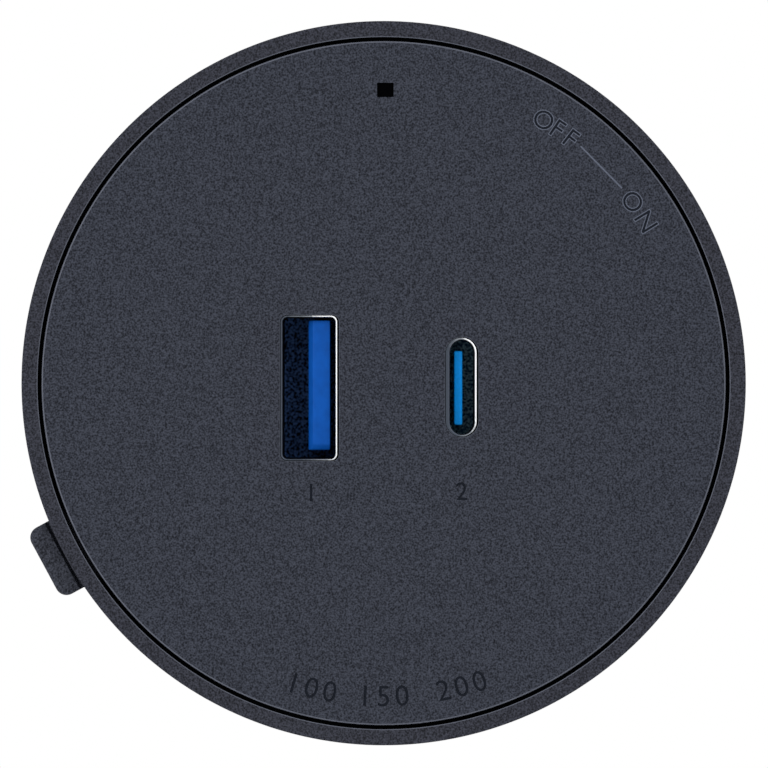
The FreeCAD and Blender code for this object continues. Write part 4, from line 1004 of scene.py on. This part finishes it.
def makeSpring(name, spring, place):
    s = spring
    mesh = bmesh.new()
    wire = s["wire"] / 2
    section = Matrix.Translation((s["radius"] - wire, 0, wire)) @ Matrix.Rotation(pi / 2, 4, "X")
    bmesh.ops.create_circle(mesh, radius=wire, segments=winding["around"], matrix=section)
    shut = s["wire"] + winding["shutGap"]
    pitch = (s["length"] - s["wire"] - 2 * shut) / s["turns"]
    end = mesh.verts[:] + mesh.edges[:]
    for turns, rise in ((1, shut), (s["turns"], pitch), (1, shut)):
        wound = bmesh.ops.spin(
            mesh, geom=end, cent=(0, 0, 0), axis=(0, 0, 1), angle=2 * pi * turns,
            dvec=(0, 0, rise / winding["stepsPerTurn"]), steps=turns * winding["stepsPerTurn"],
        )
        end = wound["geom_last"]
    bmesh.ops.holes_fill(mesh, edges=[edge for edge in mesh.edges if edge.is_boundary])
    bmesh.ops.transform(mesh, matrix=place, verts=mesh.verts)
    return makePiece(name, mesh, ["wire"])


# Gives the spring a mesh of its own.
def squashSpring(piece):
    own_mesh(piece)


heading = radians(button["angle"])
outwards = Vector((cos(heading), sin(heading), 0))
foot = outwards * buttonSpring["start"] + Vector((0, 0, buttonSpring["level"]))
lying = Matrix.Rotation(heading, 4, "Z") @ Matrix.Rotation(pi / 2, 4, "Y")
coil = makeSpring("buttonCoil", buttonSpring, Matrix.Translation(foot) @ lying)
fit(coil, "button_spring")
squashSpring(coil)

foot = Vector((*boltSpring["spot"], boltSpring["level"]))
coil = makeSpring("boltCoil", boltSpring, Matrix.Translation(foot))
fit(coil, "bolt_spring")
squashSpring(coil)
print("springs done")


# Camera, light and stage

# The frame's width and the target are in millimetres, and clipEnd is in metres.
view = {
    "lens": 300.0,
    "sensor": 36.0,
    "frameWidth": 66.78,
    "target": (0.032, -36.0, -0.073),
    "clipEnd": 20,
}
camera = bpy.data.cameras.new("camera")
camera.lens = view["lens"]
camera.sensor_width = view["sensor"]
camera.clip_end = view["clipEnd"]
distance = view["frameWidth"] * view["lens"] / view["sensor"]
cameraObject = bpy.data.objects.new("camera", camera)
cameraObject.location = (Vector(view["target"]) - Vector((0, distance, 0))) * mm
cameraObject.rotation_euler = (pi / 2, 0, 0)
bpy.context.scene.collection.objects.link(cameraObject)
bpy.context.scene.camera = cameraObject
bpy.context.scene.view_settings.view_transform = "Standard"

# Places and sizes in metres, powers in watts.
lamps = {
    "key": {"place": (-0.85, -0.8, 0.25), "size": 0.5, "power": 4.5},
    "fill": {"place": (0.5, -1.1, 0.5), "size": 0.8, "power": 2.5},
    "back": {"place": (0.3, 1.0, 0.6), "size": 0.8, "power": 4.0},
}
for name, lamp in lamps.items():
    light = bpy.data.lights.new(name, "AREA")
    light.shape = "DISK"
    light.size = lamp["size"]
    light.energy = lamp["power"]
    lightObject = bpy.data.objects.new(name, light)
    lightObject.location = lamp["place"]
    lightObject.rotation_euler = (-Vector(lamp["place"])).to_track_quat("-Z", "Y").to_euler()
    bpy.context.scene.collection.objects.link(lightObject)

# The strength of the white room: what the camera sees, and the light that it gives.
room = {"seen": 1.0, "light": 0.6}


# One value where the camera, a mirror or a lens looks, and another for every other ray.
def seenOrNot(tree, seen, unseen):
    path = addNode(tree, "ShaderNodeLightPath").outputs
    either = addNode(
        tree, "ShaderNodeMath", {0: path["Is Camera Ray"], 1: path["Is Glossy Ray"]},
        operation="MAXIMUM",
    )
    looked = addNode(
        tree, "ShaderNodeMath", {0: either.outputs["Value"], 1: path["Is Transmission Ray"]},
        operation="MAXIMUM",
    )
    settings = {"Value": looked.outputs["Value"], "To Min": unseen, "To Max": seen}
    return addNode(tree, "ShaderNodeMapRange", settings).outputs["Result"]


world = bpy.data.worlds.new("studio")
world.use_nodes = True
tree = world.node_tree
tree.nodes.clear()
strength = seenOrNot(tree, room["seen"], room["light"])
backdrop = addNode(tree, "ShaderNodeBackground", {"Color": (1, 1, 1, 1), "Strength": strength})
addNode(tree, "ShaderNodeOutputWorld", {"Surface": backdrop.outputs["Background"]})
bpy.context.scene.world = world

# A round sheet of pale paper under the part, which stays out of the front view. Drop and radius
# are in metres, and the fibres' width in millimetres.
floorSheet = {
    "drop": 0.03,
    "radius": 0.4,
    "segments": 96,
    "glow": 0.35,
    "fibre": 3.0,
    "dark": "#f1f1f0",
    "light": "#f7f7f6",
    "roughness": 0.9,
    "specular": 0.1,
}


# Matt pale paper: nearly even, with soft cloudy fibres.
def makePaper():
    s = floorSheet
    material, paper, place = startMaterial("paperMattPale")
    fibres = addNode(
        paper, "ShaderNodeTexNoise",
        {"Vector": place, "Scale": 1 / (s["fibre"] * mm), "Detail": 3.0},
    )
    colour = addNode(
        paper, "ShaderNodeValToRGB", {"Fac": fibres.outputs["Fac"]},
        stops=((0.2, s["dark"]), (0.8, s["light"])),
    )
    shader = addNode(
        paper, "ShaderNodeBsdfPrincipled",
        {
            "Base Color": colour.outputs["Color"],
            "Roughness": s["roughness"],
            "Specular IOR Level": s["specular"],
            "Emission Color": (1, 1, 1, 1),
            "Emission Strength": seenOrNot(paper, s["glow"], 0.0),
        },
    )
    finishMaterial(paper, shader)
    return material


def makeFloor():
    s = floorSheet
    mesh = bmesh.new()
    level = cadBox[0][2] - s["drop"]
    bmesh.ops.create_circle(
        mesh, cap_ends=True, radius=s["radius"], segments=s["segments"],
        matrix=Matrix.Translation((0, 0, level)),
    )
    data = bpy.data.meshes.new("floor")
    mesh.to_mesh(data)
    mesh.free()
    data.materials.append(makePaper())
    sheet = bpy.data.objects.new("floor", data)
    bpy.context.scene.collection.objects.link(sheet)
    return sheet


makeFloor()
print("camera, lamps and floor done")
